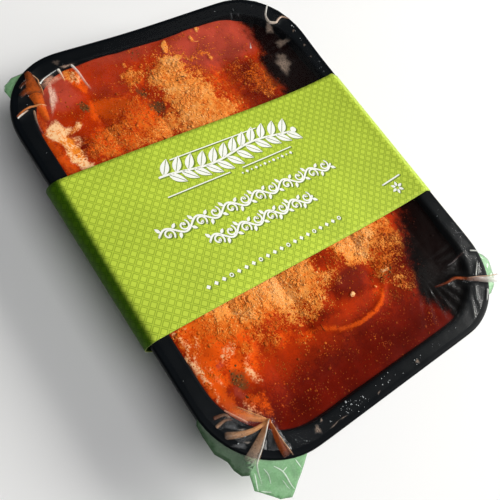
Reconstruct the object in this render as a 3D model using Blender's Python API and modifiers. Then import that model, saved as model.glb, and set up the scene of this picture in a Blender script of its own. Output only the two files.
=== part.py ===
"""Baked cannelloni as a chilled ready meal.

A black plastic tray holds the pasta under its sauce and cheese. A clear film is sealed to
the tray's flange and is gathered at the corners, where its loose tabs hang out. A card
sleeve goes round the middle of the pack and is glued underneath.

Metres, +Z up. X runs across the tray and Y along it. The origin is on the sleeve's flat
underside, below the middle of the tray.
"""

import math

import bmesh
import bpy
from mathutils import Vector, noise

MM = 0.001
GAP = 0.3 * MM
FOOD_GAP = 0.35 * MM

# Tray: outside sizes at the lip, and the thickness of the plastic.
TRAY_LENGTH = 227 * MM
TRAY_WIDTH = 178 * MM
TRAY_HEIGHT = 34 * MM
TRAY_WALL = 0.7 * MM
CORNER_LIFT = 3.5 * MM
LIFTED_ACROSS = (-10 * MM, 85 * MM)
LIFTED_ALONG = (60 * MM, 112 * MM)

# Card sleeve.
CARD = 0.45 * MM
SLEEVE_NEAR = -41.3 * MM
SLEEVE_FAR = 44.8 * MM
SLEEVE_SEGMENTS = 4
GLUE_FLAP = 26 * MM
FOLD_RADIUS = 1.6 * MM
SHOULDER_RADIUS = 6.1 * MM
CREASE_RADIUS = 2.5 * MM
LIP_WRAP_RADIUS = 3.4 * MM
UNDERSIDE_HALF_WIDTH = 70.5 * MM
OUTER_PANEL_END = -68.0 * MM

# The sleeve's top panel dips in the film's hollow: depth, where it is deepest from left to
# right, and how steeply it falls before that and rises after it.
TOP_DIP = 2.7 * MM
TOP_DIP_PLACE = 0.8
TOP_DIP_BEFORE = 3.2
TOP_DIP_AFTER = 0.8
TOP_DIP_STEPS = 24

# Film.
FILM = 0.2 * MM
FILM_EDGE = 3.6 * MM
FILM_EDGE_RADIUS = 38.0 * MM
FILM_SAG = 1.6 * MM
FILM_HOLLOW_INSET = 8.5 * MM
PLEAT_HEIGHT = 1.1 * MM
PLEATS_PER_CORNER = 5
TAB_DROOP = 0.45
TAB_HIDDEN = FILM_EDGE + 0.8 * MM
PLAIN_EDGE = 0.2 * MM
TAB_SHARES = (1.0, 0.62, 0.3)

# Rings of film inside the sealed edge: inset from the lip, corner radius, share of the pleats.
FILM_RINGS = (
    (4.4 * MM, 37.6 * MM, 0.7),
    (8.3 * MM, 37.0 * MM, 1.0),
    (13.0 * MM, 34.0 * MM, 1.0),
    (21.0 * MM, 28.0 * MM, 0.3),
    (36.0 * MM, 22.0 * MM, 0.0),
    (58.0 * MM, 14.0 * MM, 0.0),
)

# Filling: depths below the flange, rises and falls, and the places where they happen.
FOOD_LEVEL = 4.4 * MM
FOOD_TOP = 1.9 * MM
TUBE_RISE = 2.3 * MM
EDGE_RISE = 1.6 * MM
LEFT_EDGE = (68 * MM, 78 * MM)
END_EDGES = (90 * MM, 102 * MM)
SIDE_FALL = 5.5 * MM
RIGHT_SLOPE = (46 * MM, 76 * MM)
FOOD_CELL = 5.0 * MM

# Lumps in the food: how many to the metre, and their height.
LARGE_LUMPS = (45, 1.2 * MM)
SMALL_LUMPS = (130, 0.5 * MM)

# How gently a tube's near and far ends come up, in millimetres before and after the end.
NEAR_END = (-4, 9)
FAR_END = (-12, 2)

# Heights that follow from the stack of card, gap and tray.
TRAY_BASE = 2 * CARD + 2 * GAP
FLANGE_TOP = TRAY_BASE + TRAY_HEIGHT
HALF_WIDTH = TRAY_WIDTH / 2
HALF_LENGTH = TRAY_LENGTH / 2
CORNER_STEPS = 8
FILM_CORNER_STEPS = 15
SHORT_SIDE_STATION = 15 * MM
LONG_SIDE_STATION = 59 * MM

# The tray's upper surface from the lip inwards: inset from the lip, depth below the flange,
# and corner radius, in millimetres.
LIP_AND_FLANGE = (
    (0.0, 3.6, 39.0),
    (0.25, 2.2, 39.0),
    (1.1, 1.0, 38.6),
    (1.8, 0.3, 38.2),
    (2.9, 0.0, 37.8),
    (8.4, 0.0, 37.0),
    (9.1, 0.35, 36.6),
    (9.6, 1.3, 36.2),
)
FLOOR = (TRAY_HEIGHT - TRAY_WALL) / MM
FLOOR_INSET = 23.8
WALL_AND_FLOOR = (
    (9.8, 2.2, 35.8),
    (13.6, 0.46 * FLOOR, 33.0),
    (17.2, FLOOR - 4.7, 30.0),
    (18.4, FLOOR - 2.0, 28.5),
    (20.6, FLOOR - 0.4, 26.5),
    (FLOOR_INSET, FLOOR, 24.0),
    (30.0, FLOOR, 19.0),
    (31.6, FLOOR - 0.8, 18.0),
)

# How far the film's loose tabs reach past the lip, as (degrees round the corner, reach in
# millimetres). The corners go anticlockwise from the far right one.
TAB_OUTLINES = (
    ((18, 0.0), (40, 1.6), (60, 1.4), (80, 0.0)),
    ((24, 0.0), (36, 3.9), (45, 4.2), (65, 0.0)),
    ((2, 0.0), (21, 3.3), (32, 3.3), (41, 6.0), (48, 10.0), (62, 13.0), (68, 12.6), (83, 0.0)),
    ((37, 0.0), (52, 3.9), (61, 6.0), (74, 5.9), (82, 2.7), (90, 0.0)),
)

# Tubes of pasta under the sauce: middle, half width, near end and far end, in millimetres.
TUBES = (
    (-64.0, 17.0, -92.0, 96.0),
    (-35.0, 15.0, -58.0, 84.0),
    (2.0, 22.0, -78.0, 95.0),
    (46.0, 17.0, -82.0, 88.0),
)


def clear_scene():
    for old in list(bpy.data.objects):
        bpy.data.objects.remove(old)


def new_collection(name):
    collection = bpy.data.collections.new(name)
    bpy.context.scene.collection.children.link(collection)
    return collection


def make_material(name, color, roughness, metallic=0.0, alpha=1.0):
    material = bpy.data.materials.new(name)
    material.use_nodes = True
    shader = material.node_tree.nodes["Principled BSDF"]
    shader.inputs["Base Color"].default_value = (*color, 1.0)
    shader.inputs["Roughness"].default_value = roughness
    shader.inputs["Metallic"].default_value = metallic
    shader.inputs["Alpha"].default_value = alpha
    return material


def make_object(name, bm, collection, material=None, smooth_angle=40):
    mesh = bpy.data.meshes.new(name)
    bm.to_mesh(mesh)
    bm.free()
    mesh.shade_smooth()
    mesh.set_sharp_from_angle(angle=math.radians(smooth_angle))
    obj = bpy.data.objects.new(name, mesh)
    if material:
        mesh.materials.append(material)
    collection.objects.link(obj)
    return obj


def side_stations(corner, inset, radius):
    """Two points on the straight side that follows a corner, so that bends stay at the ends."""
    sign = 1 if corner in (0, 1) else -1
    along = min(LONG_SIDE_STATION, 0.9 * (HALF_LENGTH - inset - radius))
    stations = []
    for end in (1, -1):
        if corner in (0, 2):
            point = Vector((sign * end * SHORT_SIDE_STATION, sign * (HALF_LENGTH - inset)))
            outward = Vector((0.0, sign))
        else:
            point = Vector((-sign * (HALF_WIDTH - inset), sign * end * along))
            outward = Vector((-sign, 0.0))
        stations.append((point, outward, corner, 90.0))
    return stations


def rounded_outline(inset, radius, steps):
    """Points of a rounded rectangle, each with its outward direction, corner and degrees."""
    points = []
    for corner in range(4):
        sign_x = 1 if corner in (0, 3) else -1
        sign_y = 1 if corner in (0, 1) else -1
        centre = Vector((sign_x * (HALF_WIDTH - inset - radius), sign_y * (HALF_LENGTH - inset - radius)))
        for step in range(steps + 1):
            degrees = 90 * step / steps
            turn = math.radians(90 * corner + degrees)
            outward = Vector((math.cos(turn), math.sin(turn)))
            points.append((centre + outward * radius, outward, corner, degrees))
        points += side_stations(corner, inset, radius)
    return points


def smooth_step(low, high, value):
    t = min(max((value - low) / (high - low), 0.0), 1.0)
    return t * t * (3 - 2 * t)


def corner_lift(x, y, depth=0.0):
    """The far right corner of the flange is bent up a little, less so down the wall."""
    share = smooth_step(*LIFTED_ACROSS, x) * smooth_step(*LIFTED_ALONG, y)
    return CORNER_LIFT * share * (1 - depth / TRAY_HEIGHT)


def tray_ring(inset_mm, depth_mm, radius_mm):
    depth = depth_mm * MM
    ring = []
    for point, _, _, _ in rounded_outline(inset_mm * MM, radius_mm * MM, CORNER_STEPS):
        z = FLANGE_TOP - depth + corner_lift(point.x, point.y, depth)
        ring.append(Vector((point.x, point.y, z)))
    return ring


def loft(bm, rings, cap_first=False, cap_last=False):
    """Skins rings of equal length. Anticlockwise rings that go inwards face up."""
    rows = [[bm.verts.new(point) for point in ring] for ring in rings]
    count = len(rows[0])
    for outer, inner in zip(rows, rows[1:]):
        for i in range(count):
            j = (i + 1) % count
            bm.faces.new((outer[i], outer[j], inner[j], inner[i]))
    if cap_first:
        bm.faces.new(list(reversed(rows[0])))
    if cap_last:
        bm.faces.new(rows[-1])
    return rows


def add_solidify(obj, thickness, offset):
    shell = obj.modifiers.new("Thickness", "SOLIDIFY")
    shell.thickness = thickness
    shell.offset = offset
    shell.use_even_offset = True
    shell.use_rim = True
    return shell


def make_tray(collection):
    bm = bmesh.new()
    loft(bm, [tray_ring(*row) for row in LIP_AND_FLANGE + WALL_AND_FLOOR], cap_last=True)
    black = make_material("tray_black_plastic", (0.012, 0.014, 0.017), 0.38)
    tray = make_object("tray", bm, collection, black, smooth_angle=50)
    add_solidify(tray, TRAY_WALL, -1.0)
    return tray


def tube_height(x, y):
    """Rise of the pasta tubes under the sauce, from 0 in the valleys to 1 on the crests."""
    height = 0.0
    for middle, half_width, near, far in TUBES:
        across = abs(x / MM - middle) / half_width
        if across < 1.0:
            start = smooth_step(near + NEAR_END[0], near + NEAR_END[1], y / MM)
            end = smooth_step(far + FAR_END[0], far + FAR_END[1], y / MM)
            height = max(height, math.sqrt(1 - across * across) * start * (1 - end))
    return height


def food_height(x, y):
    """Top of the filling at a place, measured up from the sleeve's underside."""
    height = FLANGE_TOP - FOOD_LEVEL + TUBE_RISE * tube_height(x, y)
    for spacing, rise in (LARGE_LUMPS, SMALL_LUMPS):
        height += noise.noise(Vector((x, y, 0.0)) * spacing) * rise
    height += EDGE_RISE * max(smooth_step(*LEFT_EDGE, -x), smooth_step(*END_EDGES, abs(y)))
    height -= SIDE_FALL * smooth_step(*RIGHT_SLOPE, x)
    return min(height, FLANGE_TOP - FOOD_TOP)


def make_cavity(collection):
    """The space inside the tray, kept a gap away from its wall and floor."""
    gap_mm = FOOD_GAP / MM
    rings = []
    for inset, depth, radius in WALL_AND_FLOOR:
        aside = gap_mm if inset <= FLOOR_INSET else -gap_mm
        rings.append(tray_ring(inset + aside, depth - gap_mm, radius))
    bm = bmesh.new()
    loft(bm, rings, cap_first=True, cap_last=True)
    bmesh.ops.recalc_face_normals(bm, faces=bm.faces)
    cutter = make_object("cavity", bm, collection)
    cutter.hide_render = True
    cutter.display_type = "WIRE"
    return cutter


def make_filling(collection, cutters):
    """A block with the food's uneven top, cut to the tray's inside."""
    bm = bmesh.new()
    columns = math.ceil(TRAY_WIDTH / FOOD_CELL)
    rows = math.ceil(TRAY_LENGTH / FOOD_CELL)
    bmesh.ops.create_grid(bm, x_segments=columns, y_segments=rows, size=1.0)
    for vert in bm.verts:
        x = vert.co.x * HALF_WIDTH
        y = vert.co.y * HALF_LENGTH
        vert.co = Vector((x, y, food_height(x, y)))
    rim = [edge for edge in bm.edges if edge.is_boundary]
    walls = bmesh.ops.extrude_edge_only(bm, edges=rim)["geom"]
    for vert in (item for item in walls if isinstance(item, bmesh.types.BMVert)):
        vert.co.z = 0.0
    bmesh.ops.holes_fill(bm, edges=[edge for edge in bm.edges if edge.is_boundary], sides=0)
    bmesh.ops.recalc_face_normals(bm, faces=bm.faces)
    sauce = make_material("tomato_sauce_and_cheese", (0.42, 0.06, 0.012), 0.3)
    filling = make_object("filling", bm, collection, sauce, smooth_angle=60)
    cut = filling.modifiers.new("TrayInside", "BOOLEAN")
    cut.operation = "INTERSECT"
    cut.solver = "EXACT"
    cut.object = make_cavity(cutters)
    return filling


def tab_reach(corner, degrees):
    """How far the film hangs out past the lip at a place round a corner."""
    outline = TAB_OUTLINES[corner]
    for (start, near), (end, far) in zip(outline, outline[1:]):
        if start <= degrees <= end:
            return (near + (far - near) * (degrees - start) / (end - start)) * MM
    return 0.0


def pleat(degrees):
    """Height of the small folds that the film makes as it goes round a corner."""
    fade = math.sin(math.radians(2 * degrees))
    wave = 0.5 - 0.5 * math.cos(math.radians(degrees * 4 * PLEATS_PER_CORNER))
    return PLEAT_HEIGHT * fade * wave


def film_ring(inset, radius, pleat_share):
    """A ring of the film's underside, lying on the flange or sagging inside it."""
    ring = []
    for point, _, _, degrees in rounded_outline(inset, radius, FILM_CORNER_STEPS):
        across = min(abs(point.x) / (HALF_WIDTH - FILM_HOLLOW_INSET), 1.0)
        along = min(abs(point.y) / (HALF_LENGTH - FILM_HOLLOW_INSET), 1.0)
        sag = FILM_SAG * (1 - across**4) * (1 - along**4) if inset > FILM_HOLLOW_INSET else 0.0
        z = FLANGE_TOP + GAP - sag + pleat_share * pleat(degrees) + corner_lift(point.x, point.y)
        ring.append(Vector((point.x, point.y, z)))
    return ring


def film_tab_ring(share):
    """A ring part of the way out along the loose tabs: 0 is at the lip and 1 is their ends."""
    ring = []
    for point, outward, corner, degrees in rounded_outline(FILM_EDGE, FILM_EDGE_RADIUS, FILM_CORNER_STEPS):
        reach = tab_reach(corner, degrees)
        out = share * (reach + TAB_HIDDEN if reach > 0 else PLAIN_EDGE)
        past_lip = max(out - TAB_HIDDEN, 0.0)
        x = point.x + outward.x * out
        y = point.y + outward.y * out
        z = FLANGE_TOP + GAP + 0.5 * pleat(degrees) - TAB_DROOP * past_lip + corner_lift(x, y)
        ring.append(Vector((x, y, z)))
    return ring


def make_film(collection):
    bm = bmesh.new()
    rings = [film_tab_ring(share) for share in TAB_SHARES]
    rings += [film_ring(*row) for row in FILM_RINGS]
    loft(bm, rings, cap_last=True)
    clear = make_material("clear_film", (0.8, 0.9, 0.82), 0.08, alpha=0.3)
    film = make_object("film", bm, collection, clear, smooth_angle=60)
    add_solidify(film, FILM, 1.0)
    return film


def belt_path(rollers):
    """Arcs clockwise round the rollers (x, z, radius), joined by their common tangents."""
    normals = []
    for (x1, z1, r1), (x2, z2, r2) in zip(rollers, rollers[1:]):
        heading = math.atan2(z2 - z1, x2 - x1)
        normals.append(heading + math.acos((r1 - r2) / math.hypot(x2 - x1, z2 - z1)))
    down = -math.pi / 2
    starts = [down] + normals
    ends = normals + [down]
    path = []
    for (x, z, radius), start, end in zip(rollers, starts, ends):
        sweep = (start - end) % (2 * math.pi)
        steps = max(2, round(sweep / math.radians(14)))
        for step in range(steps + 1):
            turn = start - sweep * step / steps
            path.append((x + radius * math.cos(turn), z + radius * math.sin(turn)))
    return path


def dip_top_panel(path, left, right):
    """Adds points along the top panel, which dips in the film's hollow right of the middle."""
    dipped = []
    scale = TOP_DIP / (TOP_DIP_PLACE**TOP_DIP_BEFORE * (1 - TOP_DIP_PLACE) ** TOP_DIP_AFTER)
    for step in range(1, TOP_DIP_STEPS):
        t = step / TOP_DIP_STEPS
        x = left[0] + (right[0] - left[0]) * t
        z = left[1] + (right[1] - left[1]) * t
        dipped.append((x, z - scale * t**TOP_DIP_BEFORE * (1 - t) ** TOP_DIP_AFTER))
    split = path.index(left) + 1
    return path[:split] + dipped + path[split:]


def sleeve_path():
    """The card's middle line across the pack, from the glue flap round to the outer panel."""
    half = CARD / 2
    glue_z = CARD + GAP
    rollers = [
        (-UNDERSIDE_HALF_WIDTH, glue_z + FOLD_RADIUS, FOLD_RADIUS - half),
        (-84.8 * MM, FLANGE_TOP - 4.6 * MM, SHOULDER_RADIUS - half),
        (83.0 * MM, FLANGE_TOP + 1.55 * MM, CREASE_RADIUS - half),
        (87.2 * MM, FLANGE_TOP - 4.05 * MM, LIP_WRAP_RADIUS - half),
        (UNDERSIDE_HALF_WIDTH, FOLD_RADIUS, FOLD_RADIUS - half),
    ]
    path = belt_path(rollers)
    left = max((point for point in path if point[0] < 0), key=lambda point: (point[1], point[0]))
    right = path[path.index(left) + 1]
    path = dip_top_panel(path, left, right)
    glue_flap = [(GLUE_FLAP - UNDERSIDE_HALF_WIDTH, glue_z + half)]
    outer_panel = [(OUTER_PANEL_END, half)]
    return glue_flap + path + outer_panel


def make_sleeve(collection):
    bm = bmesh.new()
    rows = []
    for step in range(SLEEVE_SEGMENTS + 1):
        y = SLEEVE_NEAR + (SLEEVE_FAR - SLEEVE_NEAR) * step / SLEEVE_SEGMENTS
        rows.append([bm.verts.new((x, y, z)) for x, z in sleeve_path()])
    for near, far in zip(rows, rows[1:]):
        for i in range(len(near) - 1):
            bm.faces.new((near[i], near[i + 1], far[i + 1], far[i]))
    green = make_material("green_card", (0.45, 0.61, 0.045), 0.55)
    sleeve = make_object("sleeve", bm, collection, green, smooth_angle=35)
    add_solidify(sleeve, CARD, 0.0)
    return sleeve


def main():
    clear_scene()
    parts = new_collection("cannelloni_ready_meal")
    cutters = new_collection("cutters")
    make_tray(parts)
    make_filling(parts, cutters)
    make_film(parts)
    make_sleeve(parts)


main()
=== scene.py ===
"""Looks of a chilled cannelloni ready meal, built round its packed construction model.

Lengths in the tables below are millimetres in the model's frame: X runs across the tray along
the sleeve's print, Y along the tray towards its far end, and heights are counted from the flange.
"""

import functools
import math

import bmesh
import bpy
import numpy as np
from bpy.props import FloatProperty, FloatVectorProperty, IntProperty, PointerProperty
from mathutils import Matrix, Vector
from mathutils.geometry import delaunay_2d_cdt


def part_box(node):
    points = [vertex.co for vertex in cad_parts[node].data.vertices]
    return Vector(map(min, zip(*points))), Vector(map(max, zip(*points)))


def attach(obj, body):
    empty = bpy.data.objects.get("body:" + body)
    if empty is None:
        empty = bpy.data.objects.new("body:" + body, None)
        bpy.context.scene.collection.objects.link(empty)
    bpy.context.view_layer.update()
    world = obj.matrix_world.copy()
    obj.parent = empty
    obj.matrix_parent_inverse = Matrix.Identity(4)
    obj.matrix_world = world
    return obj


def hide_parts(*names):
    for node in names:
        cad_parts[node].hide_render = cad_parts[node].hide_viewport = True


bl_info = {
    "name": "Cannelloni Ready Meal",
    "version": (1, 0, 0),
    "blender": (4, 5, 0),
    "location": "View3D > Sidebar > Ready Meal",
    "description": "Builds a film-lidded tray of baked cannelloni with its card sleeve",
    "category": "Object",
}

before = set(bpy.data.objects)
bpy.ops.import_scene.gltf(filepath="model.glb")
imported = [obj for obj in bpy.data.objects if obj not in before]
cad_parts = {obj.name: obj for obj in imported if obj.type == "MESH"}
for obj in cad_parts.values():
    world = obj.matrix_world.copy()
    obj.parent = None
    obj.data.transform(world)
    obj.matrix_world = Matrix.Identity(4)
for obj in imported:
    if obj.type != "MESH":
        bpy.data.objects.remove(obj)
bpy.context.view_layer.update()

MM = 0.001
TRAY_LOW, TRAY_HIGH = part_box("tray")
SLEEVE_LOW, SLEEVE_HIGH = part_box("sleeve")
HALF_WIDTH = TRAY_HIGH.x / MM
HALF_LENGTH = TRAY_HIGH.y / MM
FLANGE_HEIGHT = 34.0
FLANGE_TOP = TRAY_LOW.z / MM + FLANGE_HEIGHT
WALL = 0.7
FLOOR_DEPTH = FLANGE_HEIGHT - WALL
CARD = 0.45
LIFTED_ACROSS = (-25.0, 75.0)
LIFTED_ALONG = (60.0, 112.0)
CORNER_LIFT = 4.8

# Inner and upper face of the tray: inset from the lip, depth below the flange, corner radius.
LIP_PROFILE = (
    (0.0, 3.6, 39.0),
    (0.0, 1.7, 39.0),
    (0.05, 1.0, 38.95),
    (0.25, 0.45, 38.8),
    (0.6, 0.12, 38.5),
    (1.1, 0.0, 38.2),
    (2.5, 0.0, 37.9),
    (4.0, 0.0, 37.6),
    (6.4, 0.0, 37.2),
    (8.0, 0.02, 37.0),
    (8.7, 0.16, 36.8),
    (9.2, 0.55, 36.5),
    (9.55, 1.3, 36.2),
)
WALL_PROFILE = (
    (9.8, 2.2, 35.8),
    (11.0, 6.0, 35.0),
    (13.6, 0.46 * FLOOR_DEPTH, 33.0),
    (17.2, FLOOR_DEPTH - 4.7, 30.0),
    (18.4, FLOOR_DEPTH - 2.0, 28.5),
    (20.6, FLOOR_DEPTH - 0.4, 26.5),
    (23.8, FLOOR_DEPTH, 24.0),
    (30.0, FLOOR_DEPTH, 19.0),
    (31.6, FLOOR_DEPTH - 0.8, 18.0),
    (34.0, FLOOR_DEPTH - 0.8, 17.0),
)

# Pasta tubes under the sauce: middle, half width, near end, far end.
TUBES = (
    (-64.0, 17.0, -92.0, 96.0),
    (-35.0, 15.0, -58.0, 84.0),
    (2.0, 22.0, -78.0, 95.0),
    (46.0, 17.0, -82.0, 88.0),
)

# Painted fields of the food: x, y, half sizes, turn in degrees, strength.
CHEESE = (
    (4, 52, 17, 10, 0, 1.0),
    (1, 66, 13, 12, 0, 1.0),
    (-3, 82, 11, 10, 10, 0.95),
    (-21, 88, 7, 4.5, 15, 0.66),
    (13, 74, 7, 9, 0, 0.5),
    (-20, 54, 12, 8, 0, 0.72),
    (-34, 57, 14, 11, 0, 0.52),
    (-52, 53, 12, 8, 0, 0.5),
    (-47, 61, 5, 4, 0, 0.7),
    (-25, 70, 7, 8, 0, 0.45),
    (47, 60, 13, 13, 0, 0.48),
    (15, 88, 5, 2.4, -20, 0.6),
    (22, 89, 3.4, 2.2, 10, 0.6),
    (30, 72, 8, 6, 0, 0.3),
    (-45, -45, 34, 11, 0, 1.0),
    (-16, -46, 20, 12, 0, 1.0),
    (28, -45, 17, 12, 0, 1.0),
    (46, -50, 11, 12, 0, 0.7),
    (0, -55, 14, 6, 0, 0.55),
    (-16, -60, 15, 7, 0, 0.6),
    (-40, -58, 14, 6, 0, 0.5),
    (40, -60, 13, 6, 0, 0.6),
    (40, -74, 8, 9, 0, 0.46),
)
BARE = (
    (6, -44, 8, 5.5, 0, 0.7),
    (14, -49, 4, 2.6, 0, 0.6),
    (-67, -50, 9, 14, 0, 0.45),
    (12, -60, 12, 6, 0, 0.5),
    (-22, 67, 6, 7, 0, 0.5),
)
BLOBS = (
    (5, 98.5, 1.9, 3.8, -28, 1.0),
    (7.5, 90.5, 3.8, 1.9, 10, 1.0),
    (21.5, 98, 1.2, 2.0, 0, 0.9),
    (27.5, 102.5, 1.2, 2.4, -35, 0.8),
    (28.5, 106, 1.0, 0.8, 0, 0.8),
    (26, 84, 1.3, 1.5, 0, 0.8),
    (-50, 99, 3.0, 4.6, 20, 0.7),
    (-47, 60, 3.4, 2.6, 0, 0.7),
    (-14.5, 102.5, 1.4, 0.9, 20, 0.6),
    (-21, 95.5, 1.2, 1.8, 20, 0.6),
    (8.5, -67.5, 1.3, 1.1, 0, 1.0),
    (24, -69.3, 1.0, 0.8, 0, 1.0),
    (-38, -66, 3.4, 2.4, 30, 0.6),
    (-53, -63, 4.4, 3.4, 0, 0.6),
    (33, -64.5, 2.4, 1.4, 0, 0.7),
)
CREAM = (
    (-71, 71.5, 4.4, 3.2, -20, 0.9),
    (-63, 70.5, 5.0, 2.2, 14, 0.7),
    (-72, 66, 3.8, 8.5, 4, 1.0),
    (-66.5, 63, 2.6, 4.0, 0, 0.45),
    (-70, 55, 3.8, 10, 14, 0.95),
    (-49, 97, 2.6, 5.0, 20, 0.62),
    (-56, -72.5, 2.6, 7.0, -12, 0.5),
    # A thin pale line along the left wall's rim, drawn with the cream colour.
    (-77.2, -58, 1.3, 24, 0, 0.52),
    (-73, -50, 1.6, 9, -14, 0.44),
    (-72, -66, 1.4, 8, 12, 0.4),
    (-62, -62, 5, 3, 20, 0.4),
    (-66, -86, 3, 5, 25, 0.36),
    (-24, -44, 9, 4, 0, 0.34),
    (31, -45, 8, 5, 0, 0.34),
    (-44, -50, 8, 3, 0, 0.3),
)
WARM = (
    (-41, 75, 12, 7, 0, 1.0),
    (-30, 64, 12, 16, 0, 0.7),
    (-46, 57, 20, 12, 0, 0.75),
    (48, 60, 14, 12, 0, 0.6),
    (28, 68, 12, 12, 0, 0.5),
    (-20, 88, 9, 5, 0, 0.6),
    (-48, 97, 4, 8, 15, 0.9),
    (25, 56, 7, 12, 0, 0.55),
    (-75.5, 62, 3.4, 26, 0, 0.8),
    (-74, -62, 5, 26, 0, 1.0),
    (-60, -54, 16, 9, 0, 0.9),
    (-66, -48, 11, 16, 0, 1.0),
    (-58, -64, 12, 12, 0, 0.8),
    (-40, -64, 16, 6, -8, 0.55),
    (-24, -71, 8, 4, 0, 0.55),
    (-62, -84, 5, 8, 30, 0.7),
    (35, -66, 6, 4, 0, 0.5),
    (25, -73, 6, 4.5, 10, 0.42),
    (-46, -84, 7, 16, 0, 0.22),
)
HERBS = (
    (-53, 79.5, 2.8, 3.6, 0, 0.95),
    (-18.5, 67, 4.2, 4.2, 0, 1.0),
    (-20.5, 77, 3.2, 5.0, 0, 0.7),
    (-12, 100, 4.2, 3.6, 0, 0.42),
    (-64, -73, 3.6, 6.5, 20, 0.8),
    (34, -67, 4.4, 3.0, 0, 0.45),
    (2, 77.5, 5.0, 1.2, 20, 0.4),
)
DEEP = (
    (-63, 58, 5.5, 8, 0, 0.9),
    (-55, 83, 7, 9, 0, 0.35),
    (-35, 92, 12, 10, 0, 0.3),
    (42, 58, 12, 20, 0, 0.8),
    (48, -66, 12, 22, 0, 0.9),
    (13, -61, 16, 8, 0, 0.75),
    (8, -45, 7, 5, 0, 0.45),
    (-12, -68, 12, 4, 0, 0.6),
    (-38, -60, 12, 4, 0, 0.35),
    (-60, -84, 4, 6, 0, 0.5),
    (10, -86, 60, 8, 0, 0.5),
)
# Where the sauce carries the painted sheen of the film: x, y, half sizes, turn, strength.
SAUCE_SHEEN = (
    (32, 92, 30, 15, 0, 1.0),
    (-20, 103, 26, 8, 0, 0.55),
    (-32, 88, 16, 12, 0, 0.3),
    (-60, 91, 10, 11, 0, 0.9),
    (14, -60, 11, 7, 0, 0.3),
    (-68, -63, 2.2, 2.0, 0, 0.8),
    (-68, 62, 3.0, 4.0, 0, 0.7),
    (-67.5, -77, 1.6, 3.0, 30, 0.7),
)
DRIFTS = (
    (-30, -80, 14, 14, 0, 0.9),
    (-44, -72, 14, 8, 0, 0.9),
    (-10, -66, 22, 6, 0, 1.0),
    (38, -74, 12, 16, 0, 1.0),
    (10, -90, 60, 10, 0, 0.28),
    (56, -66, 10, 20, 0, 0.8),
    (-68, -66, 8, 22, 0, 0.6),
    (14, -62, 14, 8, 0, 0.4),
    (-46, 62, 18, 14, 0, 0.8),
    (48, 62, 16, 16, 0, 1.0),
    (22, 66, 12, 14, 0, 0.6),
    (2, 92, 32, 12, 0, 0.5),
    (-64, 64, 12, 20, 0, 0.3),
)
FIELD_STEP = 0.4
# Where the painted shade along the right wall starts and how wide it is, along the tray.
DARK_ALONG = (-104.0, -92.0, -82.0, -66.0, -54.0, -42.0, 42.0, 60.0, 80.0, 104.0)
DARK_START = (38.0, 38.0, 33.0, 35.0, 40.0, 45.0, 38.0, 40.0, 46.0, 54.0)
DARK_WIDTH = (17.0, 16.0, 16.0, 24.0, 34.0, 36.0, 25.0, 21.0, 19.0, 14.0)
FILM_MIRROR = 0.016
TAB_DROP = 1.3
# Tabs that get the darker tab material: painted shade, as they lie in the tray's shadow.
SHADED_TABS = ("tab_left_strip", "tab_far_right")
TAB_ROOT = 3.5
CRUMB_BROWN = (0.34, 0.042, 0.003)
CRUMB_PALE = (0.95, 0.48, 0.17)
CURD_ORANGE = (0.88, 0.24, 0.018)
HERB_DARK = (0.05, 0.022, 0.006)
HERB_LIGHT = (0.22, 0.10, 0.03)
SAUCE_ARC = ((-18, -71), (-13, -74.5), (-6, -78), (4, -79.8), (14, -79.2), (22, -76.5), (27, -72.5), (30.5, -67.5))
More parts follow.
